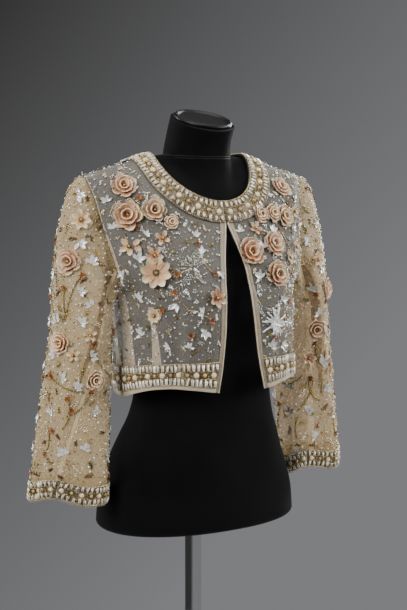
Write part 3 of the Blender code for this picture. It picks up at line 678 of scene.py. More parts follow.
sleeve_organza = organza("organza_sleeve", (0.62, 0.40, 0.16), 0.30, 0.45, (0.62, 0.48, 0.265))
SLEEVE_SEAM = 0.0009
SLEEVE_CUTS = {
    # width and length of each cut, and its area; the front seam lies further round the left arm
    "upper_right": ((0.215, 0.52), 0.088), "upper_left": ((0.215, 0.52), 0.098),
    "under_right": ((0.215, 0.43), 0.068), "under_left": ((0.160, 0.42), 0.056),
}
for side in ("right", "left"):
    front = front_seam(side)
    parts = (
        ("upper", back_seam, front, 62),
        ("under", front, lambda v: back_seam(v) + 360, 44),
    )
    for part, start, end, across in parts:
        name = f"sleeve_{part}_{side}"
        flat_size, area = SLEEVE_CUTS[f"{part}_{side}"]
        cloths[name] = sleeve_cloth(side, start, end)
        shares = np.linspace(SLEEVE_SEAM, 1 - SLEEVE_SEAM, across), np.linspace(SLEEVE_GAP, 1, 100)
        piece = cloth_piece(name + "_cloth", cloths[name], shares, flat_size, sleeve_organza)
        dress(piece, name)
    cloths["sleeve_" + side] = sleeve_cloth(side, lambda v: 0 * v - 150, lambda v: 0 * v + 210)


# Seam allowances and darts: where the cloth is doubled it reads as a pale strip. They are narrow strips of the same
# silk,
# turned inside and lying just under the outer cloth. The dark brown strips on the upper sleeves are painted shade:
# sheer strips laid in the deep fold below the front of the armhole to darken it.
allowance_silk = organza("organza_doubled", (0.82, 0.66, 0.44), 0.55, 0.30)
felled_silk = organza("organza_felled", (0.84, 0.64, 0.36), 0.50, 0.30)
# Dark brown sheer silk, used only as painted shade in the sleeve fold below the armhole.
painted_fold_shade_silk = organza("organza_turned_in", (0.24, 0.135, 0.04), 0.55, 0.60)
STRIP_LOOKS = {"front_seam": (felled_silk, 0.0002), "turned_in": (painted_fold_shade_silk, 0.0001)}
INSIDE = -0.0009
ALLOWANCE_STEPS = 70
ALLOWANCE_WIDTH = 0.016


def strip_on(cloth, start, end, half_width):
    """Cloth along a line between two places on another; t runs down it, s across it."""
    def base(s, t):
        u, v = mix(start[0], end[0], t), mix(start[1], end[1], t)
        return cloth.points(np.clip(u + (s - 0.5) * 2 * half_width(t), cloth.low, 1), v)
    return Cloth(base, lambda s, t: 0 * s, cloth.axis)


def tapered(width, end=0.15):
    return lambda t: width * np.clip(0.25 + t, end, 1)


def even(width):
    return lambda t: width + 0 * t


def bowed(width):
    return lambda t: width * np.sin(math.pi * np.clip(0.12 + 0.86 * t, 0, 1))


STRIPS = [
    # name, cloth, shares at its start and its end, half width in shares, length in metres
    (f"{kind}_{side}", "front_" + side, *shape)
    for kind, *shape in (
        ("dart", (0.60, 0.42), (0.57, 0.02), tapered(0.052), 0.13),
        ("side", (0.905, 0.47), (0.905, 0.01), tapered(0.090, 0.6), 0.16),
        ("arm", (0.966, 0.46), (0.966, 0.99), even(0.032), 0.20),
        ("shoulder", (0.58, 0.965), (0.94, 0.965), even(0.020), 0.12),
    )
    for side in ("right", "left")
]
STRIPS += [
    (f"back_{kind}_{side}", "back", (way * start, top), (way * end, low), half, length)
    for kind, start, top, end, low, half, length in (
        ("side", 0.935, 0.47, 0.935, 0.01, tapered(0.062, 0.6), 0.16),
        ("dart", 0.50, 0.44, 0.48, 0.02, tapered(0.025), 0.14),
    )
    for side, way in (("right", -1), ("left", 1))
]
STRIPS += [
    (name, "sleeve_upper_" + name.rsplit("_", 1)[1], *shape)
    for name, *shape in (
        ("front_seam_right", (0.981, 0.02), (0.981, 0.93), even(0.016), 0.47),
        ("front_seam_left", (0.972, 0.02), (0.972, 0.95), even(0.027), 0.47),
        # painted shade: dark brown strips in the deep fold below the front of the armhole
        ("turned_in_right", (0.95, 0.02), (0.90, 0.62), bowed(0.045), 0.30),
        ("turned_in_left", (0.93, 0.10), (0.86, 0.72), bowed(0.050), 0.30),
        ("back_seam_right", (0.015, 0.02), (0.015, 0.95), even(0.014), 0.47),
        ("back_seam_left", (0.015, 0.02), (0.015, 0.95), even(0.014), 0.47),
    )
]
strip_pieces = {}
for name, on, start, end, half, length in STRIPS:
    shares = np.linspace(0, 1, 7), np.linspace(0, 1, ALLOWANCE_STEPS)
    strip = strip_on(cloths[on], start, end, half)
    look, rise = STRIP_LOOKS.get(name.rsplit("_", 1)[0], (allowance_silk, INSIDE))
    piece = cloth_piece("allowance_" + name, strip, shares, (ALLOWANCE_WIDTH, length), look, 0, rise)
    dress(piece, None)
    strip_pieces.setdefault(on, []).append(piece)


# Dress form: black knitted jersey drawn smooth over a limbless torso, gathered under a padded cap
# at the neck, with two lines of stitching where the neck starts.
FORM_COLUMNS = ("drop", "half_width", "front_y", "back_y", "power")
FORM_SECTIONS = np.array([
    (0.040, 0.1985, -0.0820, 0.0690, 2.05),
    (0.072, 0.1930, -0.0905, 0.0750, 2.10),
    (0.112, 0.1840, -0.1040, 0.0800, 2.20),
    (0.150, 0.1690, -0.1150, 0.0800, 2.30),
    (0.187, 0.1470, -0.1220, 0.0770, 2.30),
    (0.230, 0.1360, -0.1210, 0.0720, 2.20),
    (0.290, 0.1260, -0.1180, 0.0640, 2.10),
    (0.350, 0.1205, -0.1180, 0.0600, 2.05),
    (0.390, 0.1280, -0.1170, 0.0700, 2.05),
    (0.430, 0.1430, -0.1180, 0.0870, 2.10),
    (0.480, 0.1620, -0.1210, 0.1030, 2.10),
    (0.530, 0.1750, -0.1240, 0.1110, 2.15),
    (0.566, 0.1780, -0.1250, 0.1120, 2.15),
])
MIDDLE_COLUMNS = ("drop", "middle_y")
FORM_MIDDLE = np.array([(0.15, -0.008), (0.30, -0.028), (0.36, -0.028), (0.46, -0.010)])
NECK_COLUMNS = ("drop", "radius", "centre_y", "tilt")
NECK_SECTIONS = np.array([
    (-0.0890, 0.0525, -0.0300, 0.34),
    (-0.0620, 0.0535, -0.0180, 0.20),
    (-0.0360, 0.0555, -0.0110, 0.06),
    (-0.0100, 0.0575, -0.0090, 0.00),
    (0.0050, 0.0600, -0.0100, 0.00),
    (0.0200, 0.0635, -0.0130, 0.00),
    (0.0400, 0.0660, -0.0165, 0.00),
])
NECK_BLEND = 20
NECK_SIDE_Y = -0.008
FORM_CLEARANCE = 0.0027
FORM_INSET = 0.006
FORM_SHOULDER = 0.2000
FORM_TOP_DROP = -0.030
FORM_BOTTOM_DROP = 0.575
FORM_TURNS = 112

def evenly_round(count):
    """Turns spaced evenly round a circle."""
    return np.linspace(0, 2 * math.pi, count, endpoint=False)


def rounded_radius(turns, half_width, front, back, power):
    """Distance from the middle of a rounded section to its edge, at each turn from the front."""
    across = np.abs(np.sin(turns)) / half_width
    along = np.abs(np.cos(turns)) / np.where(np.cos(turns) > 0, front, back)
    return (across ** power + along ** power) ** (-1 / power)


def form_ring(drop):
    """Ring of the dress form at a drop: its body and its neck, blended where both are there."""
    turns = evenly_round(FORM_TURNS)
    middle = NECK_SIDE_Y
    body = np.zeros(FORM_TURNS)
    if drop >= FORM_SECTIONS[0, 0]:
        row = row_of(FORM_SECTIONS, FORM_COLUMNS, drop)
        middle = smooth_value(FORM_MIDDLE, MIDDLE_COLUMNS, "middle_y", drop)
        front, back = middle - row["front_y"], row["back_y"] - middle
        body = rounded_radius(turns, row["half_width"], front, back, row["power"])
    elif drop > FORM_TOP_DROP:
        inset = mix(FORM_CLEARANCE, FORM_INSET, np.clip(drop / FORM_SECTIONS[0, 0], 0, 1))
        at = drop - FORM_CLEARANCE
        front, back = section("front_depth", at) - inset, section("back_depth", at) - inset
        across = np.minimum(half_width(at) - inset, FORM_SHOULDER)
        body = rounded_radius(turns, across, front, back, section("power", at))
    away = body
    height = np.full(FORM_TURNS, SHOULDER_HEIGHT - drop)
    if drop < NECK_SECTIONS[-1, 0]:
        neck = row_of(NECK_SECTIONS, NECK_COLUMNS, drop)
        off = neck["centre_y"] - middle
        along = -off * np.cos(turns)
        around = along + np.sqrt(neck["radius"] ** 2 - off ** 2 + along ** 2)
        away = (around ** NECK_BLEND + body ** NECK_BLEND) ** (1 / NECK_BLEND)
        height = height + neck["tilt"] * (middle - away * np.cos(turns) - neck["centre_y"])
    return np.column_stack([away * np.sin(turns), middle - away * np.cos(turns), height])


def loft(name, rings, look, cap_first=False, cap_last=False):
    """Closed rings of points joined by faces, drawn out one from the other."""
    shape = bmesh.new()
    place = shape.verts.layers.int.new("place")
    bmesh.ops.create_circle(shape, cap_ends=cap_first, segments=len(rings[0]), radius=1)
    for number, vert in enumerate(shape.verts):
        vert[place] = number
        vert.co = rings[0][number]
    edges = shape.edges[:]
    for points in rings[1:]:
        made = bmesh.ops.extrude_edge_only(shape, edges=edges)["geom"]
        edges = [item for item in made if isinstance(item, bmesh.types.BMEdge)]
        for vert in made:
            if isinstance(vert, bmesh.types.BMVert):
                vert.co = points[vert[place]]
    if cap_last:
        bmesh.ops.contextual_create(shape, geom=edges)
    bmesh.ops.recalc_face_normals(shape, faces=shape.faces)
    for face in shape.faces:
        face.smooth = len(face.verts) == 4
    return new_object(name, shape, look)


jersey, jersey_shader = shader_of(
    "jersey", (0.0030, 0.0031, 0.0033), 0.92, Specular_IOR_Level=0.08, Sheen_Weight=0.012, Sheen_Roughness=0.55)
jersey_place = add_node(jersey, "ShaderNodeTexCoord")
ribs = add_node(jersey, "ShaderNodeTexWave", Scale=260.0, Distortion=1.2, Detail=1.0)
courses = add_node(jersey, "ShaderNodeTexWave", Scale=200.0, Distortion=1.0)
courses.bands_direction = "Z"
knit = math_node(jersey, "MULTIPLY")
knit_bump = add_node(jersey, "ShaderNodeBump", Strength=0.30, Distance=0.0005)
dust = add_node(jersey, "ShaderNodeTexNoise", Scale=14.0, Detail=4.0)
dust_tone = ramp(jersey, (0.35, (0.0018, 0.0018, 0.0019)), (0.75, (0.0036, 0.0037, 0.0039)))
wire(
    jersey, *((jersey_place, "Object", target, "Vector") for target in (ribs, courses, dust)),
    (ribs, "Fac", knit, 0), (courses, "Fac", knit, 1), (knit, "Value", knit_bump, "Height"),
    (knit_bump, "Normal", jersey_shader, "Normal"), (dust, "Fac", dust_tone, "Fac"),
    (dust_tone, "Color", jersey_shader, "Base Color"),
)

FORM_BOTTOM_ROUND = ((0.022, 0.0000), (0.014, 0.0003), (0.008, 0.0012), (0.004, 0.0030), (0.0015, 0.0056))
bottom = form_ring(FORM_SECTIONS[-1, 0])
rings = []
for inward, up in FORM_BOTTOM_ROUND:
    ring = bottom.copy()
    ring[:, :2] *= 1 - inward / np.linalg.norm(bottom[:, :2], axis=1, keepdims=True)
    ring[:, 2] = SHOULDER_HEIGHT - FORM_BOTTOM_DROP + up
    rings.append(ring)
form_drops = np.concatenate([
    np.linspace(FORM_SECTIONS[-1, 0], 0.045, 40),
    np.linspace(0.036, -0.034, 18),
    np.linspace(-0.040, NECK_SECTIONS[0, 0], 12),
])
rings += [form_ring(drop) for drop in form_drops]
torso = loft("form_torso_jersey", rings, jersey, cap_first=True, cap_last=True)
dress(torso, "form_torso")

def grained(name, colour, roughness, scale, detail, strength, depth, **inputs):
    """Plain material with a fine grain."""
    made, shader = shader_of(name, colour, roughness, **inputs)
    grain = add_node(made, "ShaderNodeTexNoise", Scale=scale, Detail=detail)
    bump = add_node(made, "ShaderNodeBump", Strength=strength, Distance=depth)
    wire(made, (grain, "Fac", bump, "Height"), (bump, "Normal", shader, "Normal"))
    return made


# Two rows of topstitching round the foot of the neck, each a continuous raised thread.
SEAM_THREAD = 0.0006
THREAD_SECTION = ((1, 0.1), (0.4, 1), (-0.6, 0.5), (-0.6, -0.5), (0.4, -1), (1, 0.1))
stitched = grained("black_thread", (0.006, 0.006, 0.006), 0.6, 900.0, 1.0, 0.4, 0.0003)
turns = evenly_round(FORM_TURNS)
for name, drop in (("neck_stitch_upper", -0.034), ("neck_stitch_lower", -0.030)):
    ring = form_ring(drop)
    way = np.column_stack([np.sin(turns), -np.cos(turns), 0 * turns])
    rise = np.array([0, 0, 1.0])
    thread_rings = [ring + SEAM_THREAD * (out * way + up * rise) for out, up in THREAD_SECTION]
    dress(loft(name, thread_rings, stitched), None)

# Neck cap: a padded disc in glossier black cloth, tilted forward, its top set a little below the rim.
CAP_PROFILE = (
    # radius and height of each ring, from the middle of the top to the foot of the rim
    (0.0200, 0.0031), (0.0385, 0.0032), (0.0405, 0.0036), (0.0418, 0.0052), (0.0436, 0.0061),
    (0.0458, 0.0061), (0.0473, 0.0050), (0.0480, 0.0032), (0.0480, 0.0006), (0.0472, 0.0001),
)
gloss = grained(
    "cap_cloth", (0.0035, 0.0036, 0.0038), 0.42, 300.0, 2.0, 0.15, 0.0004, Specular_IOR_Level=0.22)
lean = math.atan(NECK_SECTIONS[0, 3])
cap_seat = np.array([0, NECK_SECTIONS[0, 2], SHOULDER_HEIGHT - NECK_SECTIONS[0, 0]])
cap_rings = []
for radius, height in CAP_PROFILE:
    x, y, z = radius * np.sin(turns), -radius * np.cos(turns), height + SEAM + 0 * turns
    tilted_y = y * math.cos(lean) - z * math.sin(lean)
    tilted_z = y * math.sin(lean) + z * math.cos(lean)
    cap_rings.append(np.column_stack([x, tilted_y, tilted_z]) + cap_seat)
cap_top = loft("form_cap_cloth", cap_rings, gloss, cap_first=True, cap_last=True)
dress(cap_top, "form_cap")

# Stand: a polished steel tube under the form, in the boss of a plain round foot. Both keep their
# solids; the steel has fine marks along it and a duller bloom in patches.
steel, steel_shader = shader_of("polished_steel", (0.80, 0.80, 0.80), 0.08, 1.0)
steel_place = add_node(steel, "ShaderNodeTexCoord")
steel_stretch = add_node(steel, "ShaderNodeMapping", Scale=(220, 220, 6))
steel_marks = add_node(steel, "ShaderNodeTexNoise", Scale=1.0, Detail=3.0)
steel_rough = add_node(steel, "ShaderNodeMapRange", To_Min=0.04, To_Max=0.14)
wire(
    steel, (steel_place, "Object", steel_stretch, "Vector"), (steel_stretch, "Vector", steel_marks, "Vector"),
    (steel_marks, "Fac", steel_rough, "Value"), (steel_rough, "Result", steel_shader, "Roughness"),
)
for node in ("stand_pole", "stand_base"):
    for slot in bpy.data.objects[node].material_slots:
        slot.material = steel

# Beads: every bead, sequin, stone, leaf and petal is a copy of a small part, sewn on by its place
# in shares of a cloth, with its own colour. Beads sewn on one cloth are joined in one piece.
COLOURS = {
    "silver": (0.55, 0.54, 0.50), "white": (0.90, 0.90, 0.87), "cream": (0.78, 0.66, 0.44),
    "gold": (0.44, 0.30, 0.095), "pale_gold": (0.58, 0.45, 0.23), "bronze": (0.13, 0.078, 0.024),
    "olive": (0.26, 0.205, 0.055), "rust": (0.29, 0.098, 0.024), "brown": (0.14, 0.066, 0.020),
    "peach": (0.54, 0.300, 0.170), "pink": (0.47, 0.240, 0.155), "blush": (0.78, 0.60, 0.40),
    "grey": (0.40, 0.40, 0.37), "bugle": (0.95, 0.89, 0.76), "dull_bugle": (0.70, 0.64, 0.52),
}


def bead_finish(name, roughness, metallic, glass, bump, scale):
    """Finish of the beads, which takes each bead's own colour; glass gives clear depth over it."""
    made, shader = shader_of(name, (0.7, 0.7, 0.7), roughness, metallic, Coat_Weight=glass, Coat_Roughness=0.05)
    own = made.node_tree.nodes.new("ShaderNodeVertexColor")
    own.layer_name = "tint"
    place = add_node(made, "ShaderNodeTexCoord")
    uneven = add_node(made, "ShaderNodeTexNoise", Scale=scale, Detail=2.0)
    tone = add_node(made, "ShaderNodeHueSaturation")
    strength = add_node(made, "ShaderNodeMapRange", To_Min=0.72, To_Max=1.28)
    relief = add_node(made, "ShaderNodeBump", Strength=bump, Distance=0.0003)
    wire(
        made, (place, "Object", uneven, "Vector"), (uneven, "Fac", strength, "Value"),
        (strength, "Result", tone, "Value"), (own, "Color", tone, "Color"),
        (tone, "Color", shader, "Base Color"), (uneven, "Fac", relief, "Height"),
        (relief, "Normal", shader, "Normal"),
    )
    return made


FINISHES = {
    "glass": bead_finish("bead_glass", 0.16, 0.15, 0.8, 0.1, 500.0),
    "metal": bead_finish("bead_metal", 0.26, 0.85, 0.2, 0.2, 700.0),
    "pearl": bead_finish("bead_pearl", 0.30, 0.00, 0.5, 0.1, 200.0),
    "silk": bead_finish("petal_silk", 0.52, 0.00, 0.1, 0.7, 900.0),
}


def template(build, shade=None):
    """Points, faces and shade of a small part of size 1: its width is along X, its length along Y."""
    shape = bmesh.new()
    build(shape)
    bmesh.ops.recalc_face_normals(shape, faces=shape.faces)
    points = np.array([vert.co for vert in shape.verts])
    faces = [[vert.index for vert in face.verts] for face in shape.faces]
    shape.free()
    return points, faces, shade(points) if shade else np.zeros(len(points))


def build_seed(shape):
    bmesh.ops.create_uvsphere(shape, u_segments=5, v_segments=3, radius=1)


def rod_builder(sides):
    """Straight rod with flat ends."""
    def build(shape):
        bmesh.ops.create_cone(shape, cap_ends=True, segments=sides, radius1=1, radius2=1, depth=2)
        for vert in shape.verts:
            vert.co = (vert.co.x, vert.co.z, -vert.co.y)
    return build


def build_cabochon(shape):
    bmesh.ops.create_uvsphere(shape, u_segments=14, v_segments=8, radius=1)
    for vert in shape.verts:
        vert.co.z = max(vert.co.z, -0.15)
    bmesh.ops.remove_doubles(shape, verts=shape.verts, dist=0.001)


CUT_STONE = ((1.0, 0.0), (1.0, 0.35), (0.62, 0.85), (0.30, 0.95))


def build_cut_stone(shape):
    """Stone with eight flat sides, a sloped crown and a table."""
    bmesh.ops.create_circle(shape, cap_ends=False, segments=8, radius=1)
    edges = shape.edges[:]
    for radius, height in CUT_STONE[1:]:
        made = bmesh.ops.extrude_edge_only(shape, edges=edges)["geom"]
        edges = [item for item in made if isinstance(item, bmesh.types.BMEdge)]
        for vert in made:
            if isinstance(vert, bmesh.types.BMVert):
                around = math.atan2(vert.co.y, vert.co.x)
                vert.co = (radius * math.cos(around), radius * math.sin(around), height)
    bmesh.ops.contextual_create(shape, geom=edges)


def petal_builder(across, along, tip, cup, ruffle):
    """Petal or leaf from its base at Y 0 to its tip at Y 1; tip 0 is round and 1 is pointed."""
    def build(shape):
        bmesh.ops.create_grid(shape, x_segments=across, y_segments=along, size=0.5)
        for vert in shape.verts:
            s, t = 2 * vert.co.x, vert.co.y + 0.5
            round_width = math.sin(math.pi * (0.15 + 0.60 * t)) ** 0.7
            point_width = math.sin(math.pi * min(t, 0.985)) ** 0.8 + 0.04 * (1 - t)
            width = mix(round_width, point_width, tip)
            end = t * (1 - (1 - tip) * 0.22 * s * s)
            rise = cup * (0.5 * s * s * t + 0.6 * t * t) + ruffle * t * t * math.sin(3.6 * math.pi * s + 1.1)
            crease = -0.10 * (1 - abs(s)) * math.sin(math.pi * t)
            vert.co = (s * width * 0.5, end, rise + crease)
    return build


def rim_shade(p):
    return np.clip(p[:, 1] + 0.30 * np.abs(p[:, 0]), 0, 1) ** 3.0


def tip_shade(p):
    return np.clip(p[:, 1], 0, 1) ** 1.8


def side_shade(p):
    return np.clip(2 * np.abs(p[:, 0]), 0, 1)


TEMPLATES = {
    "seed": template(build_seed),
    "tube": template(rod_builder(6)),
    "thread": template(rod_builder(4)),
    "cabochon": template(build_cabochon),
    "cut_stone": template(build_cut_stone),
    "petal": template(petal_builder(9, 5, 0.0, 0.14, 0.09), rim_shade),
    "narrow_petal": template(petal_builder(5, 4, 0.12, 0.15, 0.05), tip_shade),
    "leaf": template(petal_builder(2, 3, 1.0, 0.08, 0.0), side_shade),
}


def unit(vectors):
    return vectors / np.maximum(np.linalg.norm(vectors, axis=-1, keepdims=True), 1e-12)


class Tray:
    """Beads to be sewn on one cloth; they are laid out in metres round places given in shares."""

    def __init__(self, cloth, seed, round_it=False, rows=120):
        self.chance = np.random.default_rng(seed)
        self.low = cloth.low
        self.round_it = round_it
        self.laid = []
        self.us = np.linspace(cloth.low, 1, 200)
        self.vs = np.linspace(0, 1, rows)
        places, normals, side = cloth.lay(*np.meshgrid(self.us, self.vs))
        across = np.gradient(places, self.us, axis=1)
        along = np.gradient(places, self.vs, axis=0)
        self.table = np.concatenate([places, normals, side, across, along], axis=-1)

    def look_up(self, u, v):
        """Place, normal, way across and both slopes of the cloth at shares of it."""
        column = np.clip((u - self.low) / (1 - self.low), 0, 1) * (len(self.us) - 1.001)
        row = np.clip(v, 0, 1) * (len(self.vs) - 1.001)
        c, r = column.astype(int), row.astype(int)
        s, t = (column - c)[..., None], (row - r)[..., None]
        below = mix(self.table[r, c], self.table[r, c + 1], s)
        above = mix(self.table[r + 1, c], self.table[r + 1, c + 1], s)
        found = mix(below, above, t)
        return (found[..., 3 * part:3 * part + 3] for part in range(5))

    def away(self, u, v, a, b):
        """Shares of places a metres across and b metres up from others."""
        _, normal, _, across, along = self.look_up(u, v)
        size = np.maximum(np.linalg.norm(across, axis=-1), 1e-9)
        side = across / size[..., None]
        upward = np.cross(unit(normal), side)
        upward *= np.where(upward[..., 2:] < 0, -1, 1)
        dv = b / np.sum(along * upward, axis=-1)
        du = (a - np.sum(along * side, axis=-1) * dv) / size
        return u + du, v + dv

    def sew(self, kind, finish, u, v, a, b, angle, size, colour, rise=0.0, lift=0.0, edge=None):
        """Lay copies of a part at a, b from u, v, turned in the cloth by an angle and lifted by another.

        size is its width, length and height; colour changes to edge toward the part's edges.
        """
        given = (np.asarray(x, float) for x in (a, b, angle, rise, lift, u, v))
        a, b, angle, rise, lift, u, v = (x.reshape(-1) for x in np.broadcast_arrays(*given))
        at_u, at_v = self.away(u, v, a, b)
        if self.round_it:
            at_u = np.mod(at_u, 1)
        inside = (at_u > self.low + 0.004) & (at_u < 0.996) & (at_v > 0.004) & (at_v < 0.996)
        if not inside.any():
            return
        points, normals, side, _, _ = self.look_up(at_u[inside], at_v[inside])
        normals = unit(normals)
        side = unit(side - normals * np.sum(normals * side, axis=-1, keepdims=True))
        upward = np.cross(normals, side)
        upward *= np.where(upward[:, 2:] < 0, -1, 1)
        turn, tip = angle[inside][:, None], lift[inside][:, None]
        way = np.cos(turn) * side + np.sin(turn) * upward
        out = -np.sin(tip) * way + np.cos(tip) * normals
        way = np.cos(tip) * way + np.sin(tip) * normals
        size = np.broadcast_to(np.asarray(size, float), (len(a), 3))[inside]
        colour = np.broadcast_to(np.asarray(colour, float), (len(a), 3))[inside]
        edge = colour if edge is None else np.broadcast_to(np.asarray(edge, float), (len(a), 3))[inside]
        points = points + normals * rise[inside][:, None]
        self.laid.append((kind, finish, points, np.cross(way, out), way, out, size, colour, edge))

    def make(self, name):
        """Join all that was laid in one piece."""
        finishes = list(FINISHES)
        points, corners, totals, looks, colours = [], [], [], [], []
        start = 0
        for kind, finish, at, x, y, z, size, colour, edge in self.laid:
            unit_points, faces, shade = TEMPLATES[kind]
            scaled = unit_points[None] * size[:, None]
            placed = at[:, None]
            for axis, way in enumerate((x, y, z)):
                placed = placed + scaled[..., axis:axis + 1] * way[:, None]
            points.append(placed.reshape(-1, 3))
            share = shade[None, :, None]
            colours.append((colour[:, None] * (1 - share) + edge[:, None] * share).reshape(-1, 3))
            flat = np.array([corner for face in faces for corner in face])
            first = start + len(unit_points) * np.arange(len(at))
            corners.append((flat[None] + first[:, None]).reshape(-1))
            totals.append(np.tile([len(face) for face in faces], len(at)))
            looks.append(np.full(len(faces) * len(at), finishes.index(finish)))
            start += len(unit_points) * len(at)
        gathered = points, corners, totals, looks, colours
        points, corners, totals, looks, colours = (np.concatenate(x) for x in gathered)
        mesh = bpy.data.meshes.new(name)
        mesh.vertices.add(len(points))
        mesh.vertices.foreach_set("co", points.reshape(-1))
        mesh.loops.add(len(corners))
        mesh.loops.foreach_set("vertex_index", corners)
        mesh.polygons.add(len(totals))
        mesh.polygons.foreach_set("loop_start", np.concatenate([[0], np.cumsum(totals)[:-1]]))
        mesh.polygons.foreach_set("material_index", looks)
        mesh.update(calc_edges=True)
        own = mesh.color_attributes.new("tint", "FLOAT_COLOR", "POINT")
        own.data.foreach_set("color", np.column_stack([colours, np.ones(len(colours))]).reshape(-1))
        for finish in finishes:
            mesh.materials.append(FINISHES[finish])
        made = bpy.data.objects.new(name, mesh)
        bpy.context.scene.collection.objects.link(made)
        dress(made, None)
        return made

    def scatter(self, apart, keep=None):
        """Places in shares spread evenly over the cloth by area, at least a distance apart."""
        u, v = np.meshgrid(self.us, self.vs)
        corners = self.table[..., :3]
        wide = corners[:-1, 1:] - corners[:-1, :-1]
        tall = corners[1:, :-1] - corners[:-1, :-1]
        area = np.linalg.norm(np.cross(wide, tall), axis=-1)
        wanted = int(1.6 * area.sum() / apart ** 2)
        cell = self.chance.choice(area.size, size=3 * wanted, p=(area / area.sum()).reshape(-1))
        row, column = np.divmod(cell, area.shape[1])
        at_u = u[0, column] + self.chance.random(len(cell)) * (u[0, 1] - u[0, 0])
        at_v = v[row, 0] + self.chance.random(len(cell)) * (v[1, 0] - v[0, 0])
        if keep is not None:
            kept = keep(at_u, at_v)
            at_u, at_v = at_u[kept], at_v[kept]
        places = next(self.look_up(at_u, at_v))
        chosen = []
        for number, place in enumerate(places):
            near = places[chosen] - place
            if not chosen or np.min(np.einsum("ij,ij->i", near, near)) > apart ** 2:
                chosen.append(number)
        return at_u[chosen], at_v[chosen]

    def varied(self, colour, count, spread=0.12):
        """The colour, a little lighter or darker from bead to bead."""
        return np.asarray(COLOURS[colour]) * (1 + spread * self.chance.standard_normal((count, 1)))


# Beaded borders of the neck, the hem and the cuffs: a strip of close metallic net, with stones down
# its middle, smooth cream ones and gold cut ones by turns, and upright bugles on both sides.
STONE_PITCH = 0.0132
BAND_TOP = 0.0018
NECK_BAND = 0.035
HEM_BAND = 0.043
HEM_EDGE = 0.007
CUFF_BAND = 0.030
CUFF_EDGE = 0.003
CUFF_ROUND = 0.330
SLEEVE_LENGTH = 0.470
NECK_FRONT_LENGTH = 0.160
NECK_BACK_LENGTH = 0.230
HEM_FRONT_LENGTH = 0.175
HEM_BACK_LENGTH = 0.400
BINDING = 0.006

net, net_shader = shader_of("border_net", (0.40, 0.33, 0.22), 0.42, 0.35)
net_place = flat_measures(net)
net_cells = add_node(net, "ShaderNodeTexVoronoi", Scale=620.0)
net_tone = ramp(net, (0.10, (0.30, 0.24, 0.15)), (0.70, (0.055, 0.040, 0.022)))
net_bump = add_node(net, "ShaderNodeBump", Strength=0.8, Distance=0.0006)
wire(
    net, (net_place, "UV", net_cells, "Vector"), (net_cells, "Distance", net_tone, "Fac"),
    (net_tone, "Color", net_shader, "Base Color"), (net_cells, "Distance", net_bump, "Height"),
    (net_bump, "Normal", net_shader, "Normal"),
)


def neck_surface(face):
    """Strip along the neckline: u from the centre to the shoulder, v from the neck outward."""
    def surface(u, v):
        sign = np.where(u < 0, -1, 1) if face > 0 else 1
        angle, x, drop = neckline(np.abs(u), face)
        x = x + NECK_BAND * v * np.sin(angle)
        drop = drop + v * NECK_BAND * mix(1 / SHOULDER_SLOPE, 1, np.cos(angle))
        x = x + edge_gap(drop, face) * np.cos(angle)
        turn = np.where(np.abs(u) >= 1, math.pi / 2, turn_of(x, drop))
        points = body_point(turn, drop, face)
        points[..., 0] *= sign
        return points
    return surface


def hem_share(u, face, height):
    """Share up a panel that lies at a height above its hem."""
    centre = FRONT_HEM_DROP - FRONT_NECK_DROP if face < 0 else BACK_HEM_DROP - BACK_NECK_DROP
    return height * mix(1 / centre, UNDERARM_SHARE / (SIDE_HEM_DROP - ARMHOLE[0, 2]), np.abs(u))


def flat_fold(u, v):
    return 0 * u


def hem_strip(name, face, low, start, width):
    """Strip along the hem of a panel, from a height above it; low is its first share across."""
    cloth = cloths[name]
    return Cloth(lambda u, v: cloth.points(u, hem_share(u, face, start + width * v)), flat_fold, BODY_AXIS, low)


def cuff_cloth(side):
    """Strip round a sleeve above its edge, from the front seam round to it again."""
    front = front_seam(side)
    sleeve = sleeve_cloth(side, front, lambda v: front(v) + 360)

    def surface(u, v):
        return sleeve.points(u, 1 - (CUFF_EDGE + CUFF_BAND * (1 - v)) / SLEEVE_LENGTH)
    return Cloth(surface, flat_fold, SLEEVE_AXES[side])


back_neck = Cloth(neck_surface(1), flat_fold, BODY_AXIS, -1.0)
back_hem = hem_strip("back", 1, -1.0, HEM_EDGE, HEM_BAND)
BANDS = [
    # name, cloth, length, width, first and last share along
    ("neck_band_back", back_neck, NECK_BACK_LENGTH, NECK_BAND, -0.997, 0.997),
    ("hem_band_back", back_hem, HEM_BACK_LENGTH, HEM_BAND, -0.998, 0.998),
]
for side in ("right", "left"):
    neck = Cloth(lambda u, v, side=side: mirrored(neck_surface(-1)(u, v), side), flat_fold, BODY_AXIS)
    hem = hem_strip("front_" + side, -1, 0.0, HEM_EDGE, HEM_BAND)
    BANDS += [
        ("neck_band_" + side, neck, NECK_FRONT_LENGTH, NECK_BAND, 0.0, 0.998),
        ("hem_band_" + side, hem, HEM_FRONT_LENGTH, HEM_BAND, 0.036, 0.998),
        ("cuff_band_" + side, cuff_cloth(side), CUFF_ROUND, CUFF_BAND, 0.001, 0.999),
    ]


def sizes(count, *measures):
    """Width, length and height of copies, each given for all of them or one by one."""
    return np.column_stack([np.broadcast_to(measure, count) for measure in measures])


def around(radius, turns):
    return radius * np.cos(turns), radius * np.sin(turns)


